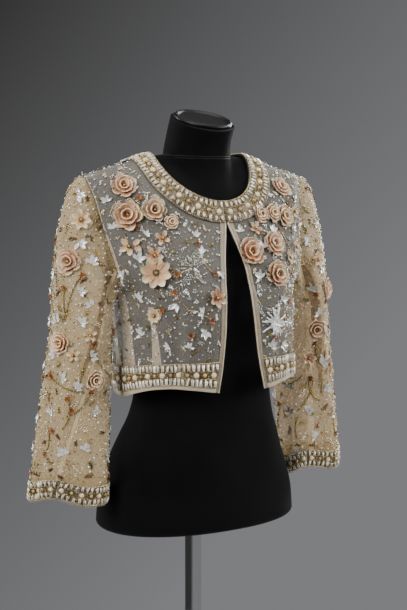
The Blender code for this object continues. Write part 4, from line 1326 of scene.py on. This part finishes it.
BUGLE_PITCH = 0.0070
LINE_PITCH = 0.0024
SEED = 0.00105
NET_STEP = 0.004
NET_WALL = 0.0008
WIDE_BAND = 0.032
for number, (name, cloth, length, width, first, last) in enumerate(BANDS):
    shares = np.linspace(first, last, 16 + int(length / NET_STEP)), np.linspace(0, 1, 8)
    tape = cloth_piece(name + "_net", cloth, shares, (length, width), net, NET_WALL, BAND_TOP)
    dress(tape, name)
    tray = Tray(cloth, 40 + number, rows=16)
    chance = tray.chance

    def along_band(pitch, across, jitter=0.0):
        count = max(2, round(length / pitch))
        u = np.linspace(first, last, count + 1)[:-1] + (last - first) / count / 2
        u = u + jitter * (last - first) / count * chance.standard_normal(count)
        return np.clip(u, first + 0.006, last - 0.006), np.full(count, across), count

    def within(u, v):
        return (u > first + 0.01) & (u < last - 0.01) & (v > 0.03) & (v < 0.97)

    u, v, count = along_band(STONE_PITCH, 0.5)
    cream, cut = np.arange(count) % 2 == 0, np.arange(count) % 2 == 1
    big, stone = (0.0044, 0.0034) if width > WIDE_BAND else (0.0037, 0.0029)
    for kind, finish, own, turn, size, height, colour, spread in (
        ("cabochon", "pearl", cream, 0, big, 0.75 * big, "cream", 0.08),
        ("cut_stone", "glass", cut, 0.2, stone, 1.1 * stone, "gold", 0.2),
    ):
        tone = tray.varied(colour, own.sum(), spread)
        tray.sew(kind, finish, u[own], v[own], 0, 0, turn, (size, size, height), tone, BAND_TOP)
    for own, ring, beads, size, colour in (
        (cut, stone + 0.0010, 10, 0.00085, "bronze"), (cream, big + 0.0009, 12, 0.00080, "pale_gold"),
    ):
        for turn in evenly_round(beads):
            tone = tray.varied(colour, own.sum())
            tray.sew("seed", "metal", u[own], v[own], *around(ring, turn), 0, size, tone, BAND_TOP + 0.0006)
    for place in (0.19, 0.81):
        u, v, count = along_band(BUGLE_PITCH, place, 0.05)
        for shift, colour in ((-0.0010, "bugle"), (0.0012, "dull_bugle")):
            lean = math.pi / 2 + 0.10 * chance.standard_normal(count)
            tall = 0.108 * width * (1 + 0.12 * chance.standard_normal((count, 1)))
            size = sizes(count, 0.026 * width, tall[:, 0], 0.00095)
            uneven = 0.0006 * chance.standard_normal(count)
            tone = tray.varied(colour, count, 0.28)
            tray.sew("tube", "glass", u, v, shift, uneven, lean, size, tone, BAND_TOP + 0.0012)
        for rise in (-0.08, -0.03, 0.02, 0.07):
            tone = tray.varied("gold" if rise > 0 else "bronze", count, 0.35)
            a, b = 0.5 * BUGLE_PITCH, rise * width
            tray.sew("seed", "metal", u, v, a, b, 0, 0.00092, tone, BAND_TOP + 0.0004)
    for place, colour in ((0.03, "pale_gold"), (0.345, "gold"), (0.655, "gold"), (0.97, "pale_gold")):
        u, v, count = along_band(LINE_PITCH, place)
        tray.sew("seed", "glass", u, v, 0, 0, 0, SEED, tray.varied(colour, count, 0.35), BAND_TOP + 0.0006)
    u, v = tray.scatter(0.0030, within)
    grains = ("silver", "metal"), ("bronze", "metal"), ("cream", "glass"), ("gold", "metal")
    for part, (colour, finish) in enumerate(grains):
        own = slice(part, None, len(grains))
        tone = tray.varied(colour, len(u[own]), 0.25)
        tray.sew("seed", finish, u[own], v[own], 0, 0, 0, 0.0009, tone, BAND_TOP + 0.0004)
    tray.make(name + "_beads")


# Edges: the fronts are bound in pale satin, and the hem ends below its border in a plain turned
# edge of the same. Both are narrow strips folded over the edge of the silk.
satin, satin_shader = shader_of("edge_satin", (0.52, 0.42, 0.28), 0.38, Sheen_Weight=0.4)
satin_place = flat_measures(satin)
satin_stretch = add_node(satin, "ShaderNodeMapping", Scale=(1500, 160, 1))
satin_grain = add_node(satin, "ShaderNodeTexNoise", Scale=1.0, Detail=2.0)
satin_bump = add_node(satin, "ShaderNodeBump", Strength=0.35, Distance=0.0003)
satin_tone = ramp(satin, (0, (0.40, 0.31, 0.20)), (1, (0.60, 0.49, 0.34)))
wire(
    satin, (satin_place, "UV", satin_stretch, "Vector"), (satin_stretch, "Vector", satin_grain, "Vector"),
    (satin_grain, "Fac", satin_tone, "Fac"), (satin_tone, "Color", satin_shader, "Base Color"),
    (satin_grain, "Fac", satin_bump, "Height"), (satin_bump, "Normal", satin_shader, "Normal"),
)

sheer_satin = satin.copy()
sheer_satin.name = "edge_satin_sheer"
sheer_satin.node_tree.nodes["Principled BSDF"].inputs["Alpha"].default_value = 0.38
EDGE_RISE = 0.0013
EDGE_WALL = 0.0008
FOLD_RISE = EDGE_RISE + 0.0007
FOLD_WALL = 0.0006
FOLD_PART = 0.24
BINDING_SIZE = (0.17, 0.30)
HEM_EDGE_SIZE = (0.18, HEM_EDGE)
BINDING_SHARE = BINDING / HEM_FRONT_LENGTH
edge_pieces = {}
up_binding = np.linspace(0, hem_share(0, -1, FRONT_HEM_DROP - FRONT_NECK_DROP - NECK_BAND), 90)
for side in ("right", "left"):
    on = "front_" + side
    edge_pieces[on] = []
    for name, node, part, steps, look, wall, rise in (
        (f"front_binding_{side}_satin", "front_binding_" + side, 1, 5, sheer_satin, EDGE_WALL, EDGE_RISE),
        (f"front_fold_{side}", None, FOLD_PART, 3, satin, FOLD_WALL, FOLD_RISE),
    ):
        shares = np.linspace(0, part * BINDING_SHARE, steps), up_binding
        piece = cloth_piece(name, cloths[on], shares, BINDING_SIZE, look, wall, rise)
        dress(piece, node)
        edge_pieces[on].append(piece)
for name, face, low in (("front_right", -1, 0.0), ("front_left", -1, 0.0), ("back", 1, -1.0)):
    first = low + 0.001 if face > 0 else BINDING_SHARE + 0.001
    shares = np.linspace(first, 0.998, 90), np.linspace(0.02, 0.97, 5)
    edge = hem_strip(name, face, low, 0, HEM_EDGE)
    piece = cloth_piece(f"hem_edge_{name}", edge, shares, HEM_EDGE_SIZE, satin, EDGE_WALL, EDGE_RISE)
    dress(piece, None)
    edge_pieces.setdefault(name, []).append(piece)


# Beadwork of the fronts: peach and pink silk roses with beaded petals, cream flowers, silver leaves
# and fern sprays, rust knots on golden stems, and a fine silver ground with single white beads.
# The brown of petals toward the middle of a flower, partly their own colour and partly painted shade of the flower's
# hollow between its petals; how much lighter their rims are than the colour named, and the beads on the rims again;
# and
# each row of a rose: how many petals, and in radii their start, length and width, and then their lift.
PETAL_BROWN_AND_SHADE = np.array((0.74, 0.50, 0.33))
RIM_LIFT = 1.12
RIM_BEAD_LIFT = 1.12
ROSE_ROWS = ((7, 0.30, 0.70, 0.86, 0.10), (6, 0.18, 0.54, 0.72, 0.34), (5, 0.08, 0.36, 0.50, 0.72))


def rose(tray, u, v, radius, inner, outer, turn):
    """Silk rose: rows of petals edged with beads, the inner ones standing up."""
    chance = tray.chance
    for row, (petals, start, length, width, lift) in enumerate(ROSE_ROWS):
        turns = turn + 0.5 * row + evenly_round(petals) + 0.12 * chance.standard_normal(petals)
        long = radius * length * (1 + 0.07 * chance.standard_normal(petals))
        wide = radius * width * (1 + 0.08 * chance.standard_normal(petals))
        size = sizes(petals, wide, long, 1.2 * long)
        # Petals browned and darkened toward their base: partly their own colour, partly painted shade of the rose's
        # hollow.
        heart, rim = PETAL_BROWN_AND_SHADE * tray.varied(inner, petals), RIM_LIFT * tray.varied(outer, petals)
        a, b = around(radius * start, turns)
        tray.sew("petal", "silk", u, v, a, b, turns, size, heart, 0.0012 + 0.0007 * row, lift, rim)
        for s in np.linspace(-0.92, 0.92, 7):
            reach = long * (1 - 0.22 * s * s) * 0.98
            off = s * wide * 0.38
            edge_a = a + reach * math.cos(lift) * np.cos(turns) - off * np.sin(turns)
            edge_b = b + reach * math.cos(lift) * np.sin(turns) + off * np.cos(turns)
            rise = 0.0026 + 0.0007 * row + reach * (math.sin(lift) + 0.12)
            tray.sew("seed", "glass", u, v, edge_a, edge_b, 0, 0.0010, RIM_BEAD_LIFT * rim, rise)
    heart_of(tray, u, v, 0.16 * radius)


def heart_of(tray, u, v, radius):
    """Middle of a flower: rings of beads, darker outside."""
    rings = (("bronze", 9, "metal"), ("gold", 6, "metal"), ("cream", 1, "pearl"))
    for ring, (colour, beads, finish) in enumerate(rings):
        a, b = around(radius * (1 - 0.5 * ring), evenly_round(beads))
        tray.sew("seed", finish, u, v, a, b, 0, 0.0011, tray.varied(colour, beads), 0.0036 + 0.0006 * ring)


FLAT_PETAL = 0.60


def flower(tray, u, v, radius, petals, inner, outer, turn=0.0, squeeze=1.0):
    """Flat flower of narrow petals edged with beads; squeeze makes it oval."""
    turns = turn + evenly_round(petals)
    long = radius * 0.80 * (squeeze + (1 - squeeze) * np.abs(np.sin(turns)))
    size = sizes(petals, radius * FLAT_PETAL, long, long)
    rim = RIM_LIFT * tray.varied(outer, petals)
    # Petals browned and darkened toward their base: partly their own colour, partly painted shade of the flower's
    # middle.
    heart = PETAL_BROWN_AND_SHADE * tray.varied(inner, petals)
    a, b = around(0.2 * radius, turns)
    tray.sew("narrow_petal", "silk", u, v, a, b, turns, size, heart, 0.0014, 0.14, rim)
    for s, along in ((-1, 0.70), (-0.6, 0.93), (0, 1.02), (0.6, 0.93), (1, 0.70)):
        off = s * radius * FLAT_PETAL * 0.40
        edge_a = a + along * long * np.cos(turns) - off * np.sin(turns)
        edge_b = b + along * long * np.sin(turns) + off * np.cos(turns)
        tray.sew("seed", "glass", u, v, edge_a, edge_b, 0, 0.0009, rim, 0.0022 + along * long * 0.22)
    heart_of(tray, u, v, 0.20 * radius)


LEAF_SCALE = 1.18


def leaves(tray, u, v, size, turn, colour="white", count=4):
    """Small fans of pointed leaves, with a seed at the foot of each."""
    u, v, size, turn = (np.atleast_1d(np.asarray(x, float)) for x in (u, v, size, turn))
    size = LEAF_SCALE * size
    chance = tray.chance
    for part in range(count):
        off = part - (count - 1) / 2
        angle = turn + off * 0.85 + 0.15 * chance.standard_normal(len(u))
        long = size * (1.0 - 0.16 * abs(off)) * (1 + 0.1 * chance.standard_normal(len(u)))
        shape = np.column_stack([0.46 * long, long, 0.9 * long])
        tone = tray.varied(colour, len(u), 0.1)
        tray.sew("leaf", "glass", u, v, *around(0.0006, angle), angle, shape, 0.70 * tone, 0.0008, 0.16, tone)
    tray.sew("seed", "glass", u, v, 0, 0, 0, 0.0012, tray.varied(colour, len(u)), 0.0012)


def sprays(tray, u, v, direction, length, curl, colour, steps=6, thick=0.00050, spread=0.85, reach=0.36):
    """Fern sprays: a curved stem of short bugles with a pair of others at each step."""
    given = (np.atleast_1d(np.asarray(x, float)) for x in (u, v, direction, length, curl))
    u, v, direction, length, curl = (x[:, None] for x in given)
    t = np.linspace(0, 1, steps)
    heading = direction + curl * t
    stride = length / steps + 0 * t
    a = np.cumsum(np.cos(heading) * stride, axis=1)
    b = np.cumsum(np.sin(heading) * stride, axis=1)
    tone = np.repeat(np.broadcast_to(colour, (len(u), 3)), steps, axis=0)
    bugle = sizes(a.size, thick, 0.52 * stride.reshape(-1), thick)
    tray.sew("thread", "metal", u, v, a, b, heading, bugle, tone, 0.0007)
    for sign in (-1, 1):
        out = heading + sign * spread
        long = length * reach * (1 - 0.62 * t)
        bugle = sizes(a.size, thick * 1.1, 0.48 * long.reshape(-1), thick * 1.1)
        out_a, out_b = a + 0.5 * long * np.cos(out), b + 0.5 * long * np.sin(out)
        tray.sew("thread", "metal", u, v, out_a, out_b, out, bugle, tone, 0.0008)


def stem(tray, u, v, direction, length, curl, colour, thick=0.0007, pitch=0.0024):
    """Curved line of short bugles laid end to end."""
    steps = max(3, int(length / pitch))
    heading = direction + curl * np.linspace(0, 1, steps)
    a = np.cumsum(np.cos(heading)) * length / steps
    b = np.cumsum(np.sin(heading)) * length / steps
    size = sizes(steps, thick, 0.52 * length / steps, thick)
    tray.sew("thread", "metal", u, v, a, b, heading, size, tray.varied(colour, steps, 0.2), 0.0008)


def knot(tray, u, v, size, colour="rust"):
    """Small cluster of petals and beads on a stem."""
    turns = tray.chance.random() * 6 + evenly_round(5)
    base, tip = tray.varied(colour, 5), tray.varied(colour, 5, 0.1) * 1.4
    tray.sew("narrow_petal", "silk", u, v, 0, 0, turns, (0.6 * size, size, size), base, 0.0010, 0.35, tip)
    near = 0.6 * size * tray.chance.standard_normal((2, 7))
    tray.sew("seed", "glass", u, v, near[0], near[1], 0, 0.0010, tray.varied(colour, 7, 0.25), 0.0018)
    tray.sew("seed", "metal", u, v, 0, 0, 0, 0.0014, tray.varied("bronze", 1), 0.0028)


def burst(tray, u, v, radius, colour="white", rays=17):
    """Star of long bright bugles laid over each other, with a cluster at its middle."""
    chance = tray.chance
    turns = evenly_round(rays) + 0.2 * chance.standard_normal(rays)
    long = radius * (0.55 + 0.45 * chance.random(rays))
    for along in (0.22, 0.52, 0.82):
        size = sizes(rays, 0.0011, 0.17 * long, 0.0011)
        angle = turns + 0.15 * chance.standard_normal(rays)
        tone = tray.varied(colour, rays, 0.08)
        tray.sew("tube", "glass", u, v, *around(along * long, turns), angle, size, tone, 0.0013)
    fans = np.full(5, 0.45 * radius)
    leaves(tray, np.full(5, u), np.full(5, v), fans, 2 * math.pi * chance.random(5), colour, 3)


def ground(tray, keep, spray_gap, dot_gap, spray_colours, dots, thick=0.00048):
    """Fine sprays all over a cloth, and single beads between them."""
    u, v = tray.scatter(spray_gap, keep)
    chance = tray.chance
    pick = chance.integers(len(spray_colours), size=len(u))
    for number, colour in enumerate(spray_colours):
        own = pick == number
        count = own.sum()
        if count:
            direction = 2 * math.pi * chance.random(count)
            length = spray_gap * (0.5 + 0.4 * chance.random(count))
            curl = 1.6 * chance.standard_normal(count)
            tone = tray.varied(colour, count, 0.2)
            sprays(tray, u[own], v[own], direction, length, curl, tone, 5, thick)
    u, v = tray.scatter(dot_gap, keep)
    for part, (colour, finish, size) in enumerate(dots):
        own = slice(part, None, len(dots))
        tone = tray.varied(colour, len(u[own]), 0.15)
        tray.sew("seed", finish, u[own], v[own], 0, 0, 0, size, tone, 0.6 * size)


def clear_of_borders(tray, face, flowers):
    """Test of places on a front or the back that keeps off its borders, binding and flowers."""
    top = NECK_POINT_DROP + NECK_BAND / SHOULDER_SLOPE
    lowest = (FRONT_NECK_DROP if face < 0 else BACK_NECK_DROP) + NECK_BAND
    middles = [(next(tray.look_up(np.array(u), np.array(v))), radius) for u, v, radius in flowers]

    def keep(u, v):
        places = next(tray.look_up(u, v))
        across = places[:, 0] / (NECK_HALF_WIDTH + NECK_BAND)
        down = (SHOULDER_HEIGHT - places[:, 2] - top) / (lowest - top)
        off = (np.hypot(across, np.maximum(down, 0)) > 1.06) & (v > hem_share(u, face, HEM_EDGE + HEM_BAND + 0.004))
        if face < 0:
            off &= u > 0.05
        for middle, radius in middles:
            off &= np.linalg.norm(places - middle, axis=-1) > 0.85 * radius
        return off
    return keep


def place_on(tray, x, drop):
    """Shares of the place on a cloth with this distance from the centre and this drop."""
    off = np.hypot(tray.table[..., 0] - x, SHOULDER_HEIGHT - tray.table[..., 2] - drop)
    row, column = np.unravel_index(np.argmin(off), off.shape)
    return tray.us[column], tray.vs[row]


FRONT_MOTIFS = {
    "right": {
        "roses": (
            (0.158, 0.014, 0.020, "peach", "blush"), (0.160, 0.058, 0.0235, "peach", "blush"),
            (0.121, 0.053, 0.0205, "pink", "cream"), (0.097, 0.071, 0.012, "peach", "blush"),
        ),
        "flowers": (
            (0.131, 0.150, 0.025, 8, "blush", "cream", 0.2, 1.0),
            (0.133, 0.217, 0.012, 9, "cream", "cream", 0.0, 0.72),
            (0.044, 0.190, 0.0165, 6, "pink", "blush", 0.5, 1.0),
            (0.163, 0.108, 0.015, 5, "cream", "cream", 1.2, 1.0),
            (0.115, 0.098, 0.012, 4, "peach", "blush", 0.3, 1.0),
            (0.131, 0.124, 0.014, 5, "peach", "blush", 0.9, 1.0),
        ),
        "leaves": (
            (0.178, 0.082, 0.011, 1.9), (0.154, 0.128, 0.012, 2.6), (0.170, 0.152, 0.010, 0.6),
            (0.147, 0.190, 0.011, 2.2),
            (0.106, 0.198, 0.012, -1.2), (0.144, 0.248, 0.011, 1.0), (0.070, 0.212, 0.011, 0.2),
            (0.151, 0.240, 0.009, 2.8),
            (0.066, 0.240, 0.011, -1.0), (0.056, 0.120, 0.010, 0.8), (0.092, 0.265, 0.009, 1.6),
            (0.186, 0.040, 0.010, 1.2),
            (0.138, 0.090, 0.008, 2.4), (0.030, 0.150, 0.010, -1.5), (0.118, 0.262, 0.009, -0.4),
            (0.064, 0.092, 0.009, 2.0),
        ),
        "knots": (
            (0.104, 0.151, 0.0065), (0.108, 0.181, 0.0060), (0.125, 0.209, 0.0055), (0.056, 0.226, 0.0065),
            (0.089, 0.247, 0.0060),
            (0.041, 0.152, 0.0060), (0.140, 0.036, 0.0065), (0.148, 0.078, 0.0045), (0.062, 0.106, 0.0045),
            (0.168, 0.168, 0.0050),
        ),
        "stems": (
            (0.108, 0.181, -0.3, 0.030, 0.9), (0.108, 0.181, -1.9, 0.032, -0.5), (0.125, 0.209, -1.4, 0.050, 0.3),
            (0.056, 0.226, 0.6, 0.042, -0.5), (0.104, 0.151, 2.8, 0.030, -0.5), (0.155, 0.165, 0.3, 0.026, 0.4),
            (0.041, 0.152, 0.4, 0.032, 0.8), (0.165, 0.082, -1.7, 0.030, 0.4), (0.076, 0.100, 2.5, 0.034, -0.7),
        ),
        "sprays": (
            (0.078, 0.140, 1.5, 0.034, 0.5), (0.078, 0.142, 0.5, 0.034, -0.4), (0.080, 0.146, -0.4, 0.036, 0.5),
            (0.080, 0.148, -1.3, 0.044, 0.4), (0.078, 0.148, -2.2, 0.028, -0.4), (0.080, 0.140, 2.4, 0.036, 0.5),
            (0.092, 0.180, -0.5, 0.030, 0.5), (0.118, 0.118, 1.2, 0.024, 0.6), (0.110, 0.120, 0.1, 0.026, 0.6),
        ),
        "bursts": (),
    },
    "left": {
        "roses": (
            (0.036, 0.122, 0.0235, "peach", "blush"), (0.085, 0.111, 0.0215, "pink", "blush"),
            (0.079, 0.159, 0.0215, "pink", "blush"),
            (0.127, 0.066, 0.0200, "peach", "cream"), (0.072, 0.065, 0.0150, "pink", "blush"),
            (0.135, 0.020, 0.0190, "pink", "blush"),
            (0.100, 0.062, 0.0150, "peach", "blush"),
        ),
        "flowers": (
            (0.055, 0.085, 0.011, 5, "cream", "cream", 0.5, 1.0),
            (0.120, 0.135, 0.012, 6, "cream", "cream", 0.1, 1.0),
            (0.160, 0.060, 0.012, 5, "blush", "cream", 0.1, 1.0),
            (0.150, 0.118, 0.013, 6, "blush", "cream", 0.4, 1.0),
        ),
        "leaves": (
            (0.089, 0.090, 0.012, 0.4), (0.062, 0.115, 0.011, 1.2), (0.045, 0.163, 0.012, 2.0),
            (0.084, 0.200, 0.012, 0.6),
            (0.024, 0.088, 0.009, 1.4), (0.150, 0.030, 0.010, 0.8), (0.170, 0.040, 0.010, 2.2),
            (0.150, 0.090, 0.011, 1.0),
            (0.058, 0.275, 0.012, 0.9), (0.084, 0.272, 0.012, -0.8), (0.110, 0.180, 0.010, 1.5),
            (0.135, 0.165, 0.010, 0.2),
            (0.110, 0.240, 0.011, 1.8), (0.130, 0.215, 0.010, -1.0), (0.100, 0.030, 0.009, 0.1),
            (0.175, 0.085, 0.010, 1.7),
        ),
        "knots": (
            (0.020, 0.166, 0.0060), (0.067, 0.262, 0.0060), (0.060, 0.090, 0.0060), (0.105, 0.090, 0.0060),
            (0.110, 0.205, 0.0055),
            (0.145, 0.045, 0.0060), (0.118, 0.160, 0.0050),
        ),
        "stems": (
            (0.030, 0.145, -1.9, 0.030, 0.3), (0.020, 0.172, -1.2, 0.044, 0.3), (0.098, 0.150, -1.3, 0.044, -0.3),
            (0.112, 0.090, -1.5, 0.036, 0.3), (0.067, 0.262, 0.8, 0.026, -0.5), (0.100, 0.200, -1.6, 0.040, 0.3),
        ),
        "sprays": (
            (0.045, 0.190, 2.0, 0.024, -0.5), (0.055, 0.212, -0.6, 0.024, 0.5),
            (0.030, 0.200, -1.2, 0.028, 0.5), (0.115, 0.250, 0.8, 0.024, 0.5),
        ),
        "bursts": ((0.068, 0.236, 0.032),),
    },
}
FRONT_GROUND = (
    0.0142, 0.0082, ("silver", "cream", "white", "olive"),
    (("white", "glass", 0.0016), ("silver", "glass", 0.0011), ("cream", "glass", 0.0013), ("gold", "metal", 0.0011)),
    0.00055,
)
for side, seed, flip in (("right", 11, -1), ("left", 12, 1)):
    name = "front_" + side
    tray = Tray(cloths[name], seed)
    motifs = FRONT_MOTIFS[side]
    held = []

    def at(x, drop):
        return place_on(tray, flip * x, drop)

    for number, (x, drop, radius, inner, outer) in enumerate(motifs["roses"]):
        u, v = at(x, drop)
        rose(tray, u, v, radius, inner, outer, 0.7 * number)
        held.append((u, v, radius))
    for x, drop, radius, *shape in motifs["flowers"]:
        u, v = at(x, drop)
        flower(tray, u, v, radius, *shape)
        held.append((u, v, radius))
    for x, drop, size, turn in motifs["leaves"]:
        leaves(tray, *at(x, drop), size, turn)
    for x, drop, size in motifs["knots"]:
        knot(tray, *at(x, drop), size)
    for x, drop, *shape in motifs["stems"]:
        stem(tray, *at(x, drop), *shape, "pale_gold")
    for x, drop, *shape in motifs["sprays"]:
        sprays(tray, *at(x, drop), *shape, COLOURS["silver"], 10, 0.00045, 0.75, 0.30)
    for x, drop, radius in motifs["bursts"]:
        burst(tray, *at(x, drop), radius)
    ground(tray, clear_of_borders(tray, -1, held), *FRONT_GROUND)
    tray.make(name + "_beadwork")


# Beadwork of the back, which the photograph doesn't show: the same flowers, fewer, and the same ground.
BACK_ROSES = (
    (-0.140, 0.020, 0.021, "pink", "peach"), (-0.105, 0.062, 0.023, "peach", "blush"),
    (-0.150, 0.075, 0.019, "pink", "blush"), (0.135, 0.022, 0.022, "peach", "blush"),
    (0.150, 0.070, 0.020, "pink", "peach"), (0.104, 0.070, 0.019, "peach", "cream"),
    (0.010, 0.100, 0.024, "pink", "blush"), (-0.045, 0.140, 0.020, "peach", "blush"),
    (0.062, 0.145, 0.021, "pink", "peach"),
)
BACK_FLOWERS = (
    (-0.110, 0.190, 0.022, 8), (0.115, 0.205, 0.020, 7), (0.005, 0.215, 0.017, 6), (-0.050, 0.245, 0.013, 6),
)
BACK_GROUND = (
    0.0190, 0.0110, ("silver", "cream", "grey", "olive"),
    (("white", "glass", 0.0013), ("silver", "metal", 0.0010), ("gold", "metal", 0.0009)),
)
tray = Tray(cloths["back"], 13)
chance = tray.chance
held = []


def scattered_leaves(tray, apart, keep):
    """Fans of leaves spread over a cloth, turned every way."""
    u, v = tray.scatter(apart, keep)
    size = 0.010 + 0.003 * tray.chance.random(len(u))
    leaves(tray, u, v, size, 2 * math.pi * tray.chance.random(len(u)))


for number, (x, drop, radius, inner, outer) in enumerate(BACK_ROSES):
    u, v = place_on(tray, x, drop)
    rose(tray, u, v, radius, inner, outer, 0.9 * number)
    held.append((u, v, radius))
for x, drop, radius, petals in BACK_FLOWERS:
    u, v = place_on(tray, x, drop)
    flower(tray, u, v, radius, petals, "blush", "cream", x)
    held.append((u, v, radius))
keep = clear_of_borders(tray, 1, held)
scattered_leaves(tray, 0.034, keep)
for at_u, at_v in zip(*tray.scatter(0.060, keep)):
    knot(tray, at_u, at_v, 0.006)
    direction, curl = 2 * math.pi * chance.random(), 0.8 * chance.standard_normal()
    stem(tray, at_u, at_v, direction, 0.035, curl, "pale_gold")
u, v = tray.scatter(0.070, keep)
direction = 2 * math.pi * chance.random(len(u))
length = 0.030 + 0.012 * chance.random(len(u))
curl = 0.6 * chance.standard_normal(len(u))
sprays(tray, u, v, direction, length, curl, COLOURS["silver"], 10, 0.0006)
ground(tray, keep, *BACK_GROUND)
tray.make("back_beadwork")


# Beadwork of the sleeves: silver leaves, small flowers and olive vines with rust knots, over a fine
# ground of dark gold and silver beads.
# Places are given in degrees round the sleeve and share down it.
SLEEVE_MOTIFS = {
    "right": {
        "leaves": (
            (16, 0.08, 0.013, 1.2), (40, 0.18, 0.012, 0.4), (64, 0.19, 0.012, 2.0), (52, 0.30, 0.011, 1.0),
            (74, 0.33, 0.011, 2.4),
            (60, 0.39, 0.012, 0.5), (10, 0.39, 0.013, 1.8), (74, 0.61, 0.012, 0.9), (116, 0.69, 0.012, 2.2),
            (48, 0.58, 0.012, 0.3),
            (100, 0.81, 0.012, 1.4), (70, 0.84, 0.013, 2.0), (20, 0.50, 0.012, 2.6), (34, 0.70, 0.012, 1.0),
            (90, 0.50, 0.011, 0.2),
        ),
        "roses": (
            (28, 0.25, 0.021, "pink", "blush"), (28, 0.46, 0.018, "peach", "blush"),
            (104, 0.58, 0.014, "peach", "blush"),
        ),
        "flowers": (
            (34, 0.12, 0.016, 7, "cream", "cream"), (80, 0.43, 0.010, 5, "cream", "cream"),
            (60, 0.50, 0.010, 5, "blush", "cream"),
        ),
        "knots": (
            (24, 0.31), (92, 0.46), (20, 0.57), (66, 0.65), (74, 0.69), (38, 0.84), (54, 0.25), (100, 0.62),
            (48, 0.76),
        ),
        "stems": (
            (24, 0.31, -1.4, 0.050, 0.5), (20, 0.57, -0.9, 0.060, 0.9), (66, 0.65, -1.2, 0.050, -1.0),
            (54, 0.25, -1.6, 0.060, 0.3), (92, 0.46, -1.3, 0.070, 0.7), (38, 0.84, 0.8, 0.040, 0.8),
            (100, 0.62, -1.8, 0.055, -0.8),
        ),
    },
    "left": {
        "leaves": (
            (74, 0.09, 0.012, 1.2), (90, 0.41, 0.012, 0.8), (92, 0.60, 0.013, 2.0), (74, 0.79, 0.012, 0.6),
            (84, 0.70, 0.013, 1.5),
            (60, 0.25, 0.012, 0.4), (100, 0.30, 0.011, 2.2), (50, 0.50, 0.012, 1.0), (126, 0.78, 0.011, 2.6),
            (40, 0.14, 0.012, 1.9),
            (112, 0.88, 0.011, 0.7), (30, 0.66, 0.012, 1.3),
        ),
        "roses": ((100, 0.47, 0.017, "pink", "blush"), (52, 0.33, 0.018, "peach", "blush")),
        "flowers": (
            (70, 0.20, 0.014, 6, "blush", "cream"), (60, 0.62, 0.014, 6, "blush", "cream"),
            (116, 0.58, 0.012, 5, "pink", "blush"),
        ),
        "knots": ((100, 0.47), (104, 0.50), (118, 0.66), (72, 0.87), (96, 0.33), (64, 0.36)),
        "stems": (
            (130, 0.64, -0.9, 0.055, 1.5), (118, 0.66, -1.5, 0.045, -1.2), (110, 0.66, -1.6, 0.060, 0.9),
            (100, 0.47, -1.6, 0.060, -0.4), (72, 0.87, 1.2, 0.050, 0.6), (148, 0.88, 1.6, 0.040, 0.7),
        ),
    },
}
SLEEVE_GROUND = (
    0.0195, 0.0072, ("cream", "olive", "brown", "gold"),
    (("gold", "metal", 0.0012), ("white", "glass", 0.0015), ("bronze", "metal", 0.0012), ("cream", "glass", 0.0013)),
    0.0006,
)
CUFF_TOP = 1 - (CUFF_EDGE + CUFF_BAND + 0.004) / SLEEVE_LENGTH
SEEN = (4, 140)


def on_sleeve(degrees, w):
    return (degrees + 150) / 360, w


def off_cuff(u, v):
    return (v < CUFF_TOP) & (v > 0.012)


def hidden(u, v):
    """Test of places on the part of a sleeve that the photograph doesn't show."""
    degrees = u * 360 - 150
    return off_cuff(u, v) & ((degrees < SEEN[0]) | (degrees > SEEN[1]))


for side, seed in (("right", 21), ("left", 22)):
    name = "sleeve_" + side
    tray = Tray(cloths[name], seed, True)
    chance = tray.chance
    motifs = SLEEVE_MOTIFS[side]
    for degrees, w, size, turn in motifs["leaves"]:
        leaves(tray, *on_sleeve(degrees, w), size, turn)
    for degrees, w, radius, inner, outer in motifs["roses"]:
        rose(tray, *on_sleeve(degrees, w), radius, inner, outer, degrees)
    for degrees, w, radius, petals, inner, outer in motifs["flowers"]:
        flower(tray, *on_sleeve(degrees, w), radius, petals, inner, outer, w)
    for degrees, w in motifs["knots"]:
        knot(tray, *on_sleeve(degrees, w), 0.006)
    for degrees, w, *shape in motifs["stems"]:
        stem(tray, *on_sleeve(degrees, w), *shape, "olive", 0.0013)
    scattered_leaves(tray, 0.036, hidden)
    for at_u, at_v in zip(*tray.scatter(0.075, hidden)):
        knot(tray, at_u, at_v, 0.006)
        direction, curl = -1.5 + 0.4 * chance.standard_normal(), 0.9 * chance.standard_normal()
        stem(tray, at_u, at_v, direction, 0.055, curl, "olive", 0.0010)
    ground(tray, off_cuff, *SLEEVE_GROUND)
    tray.make(name + "_beadwork")
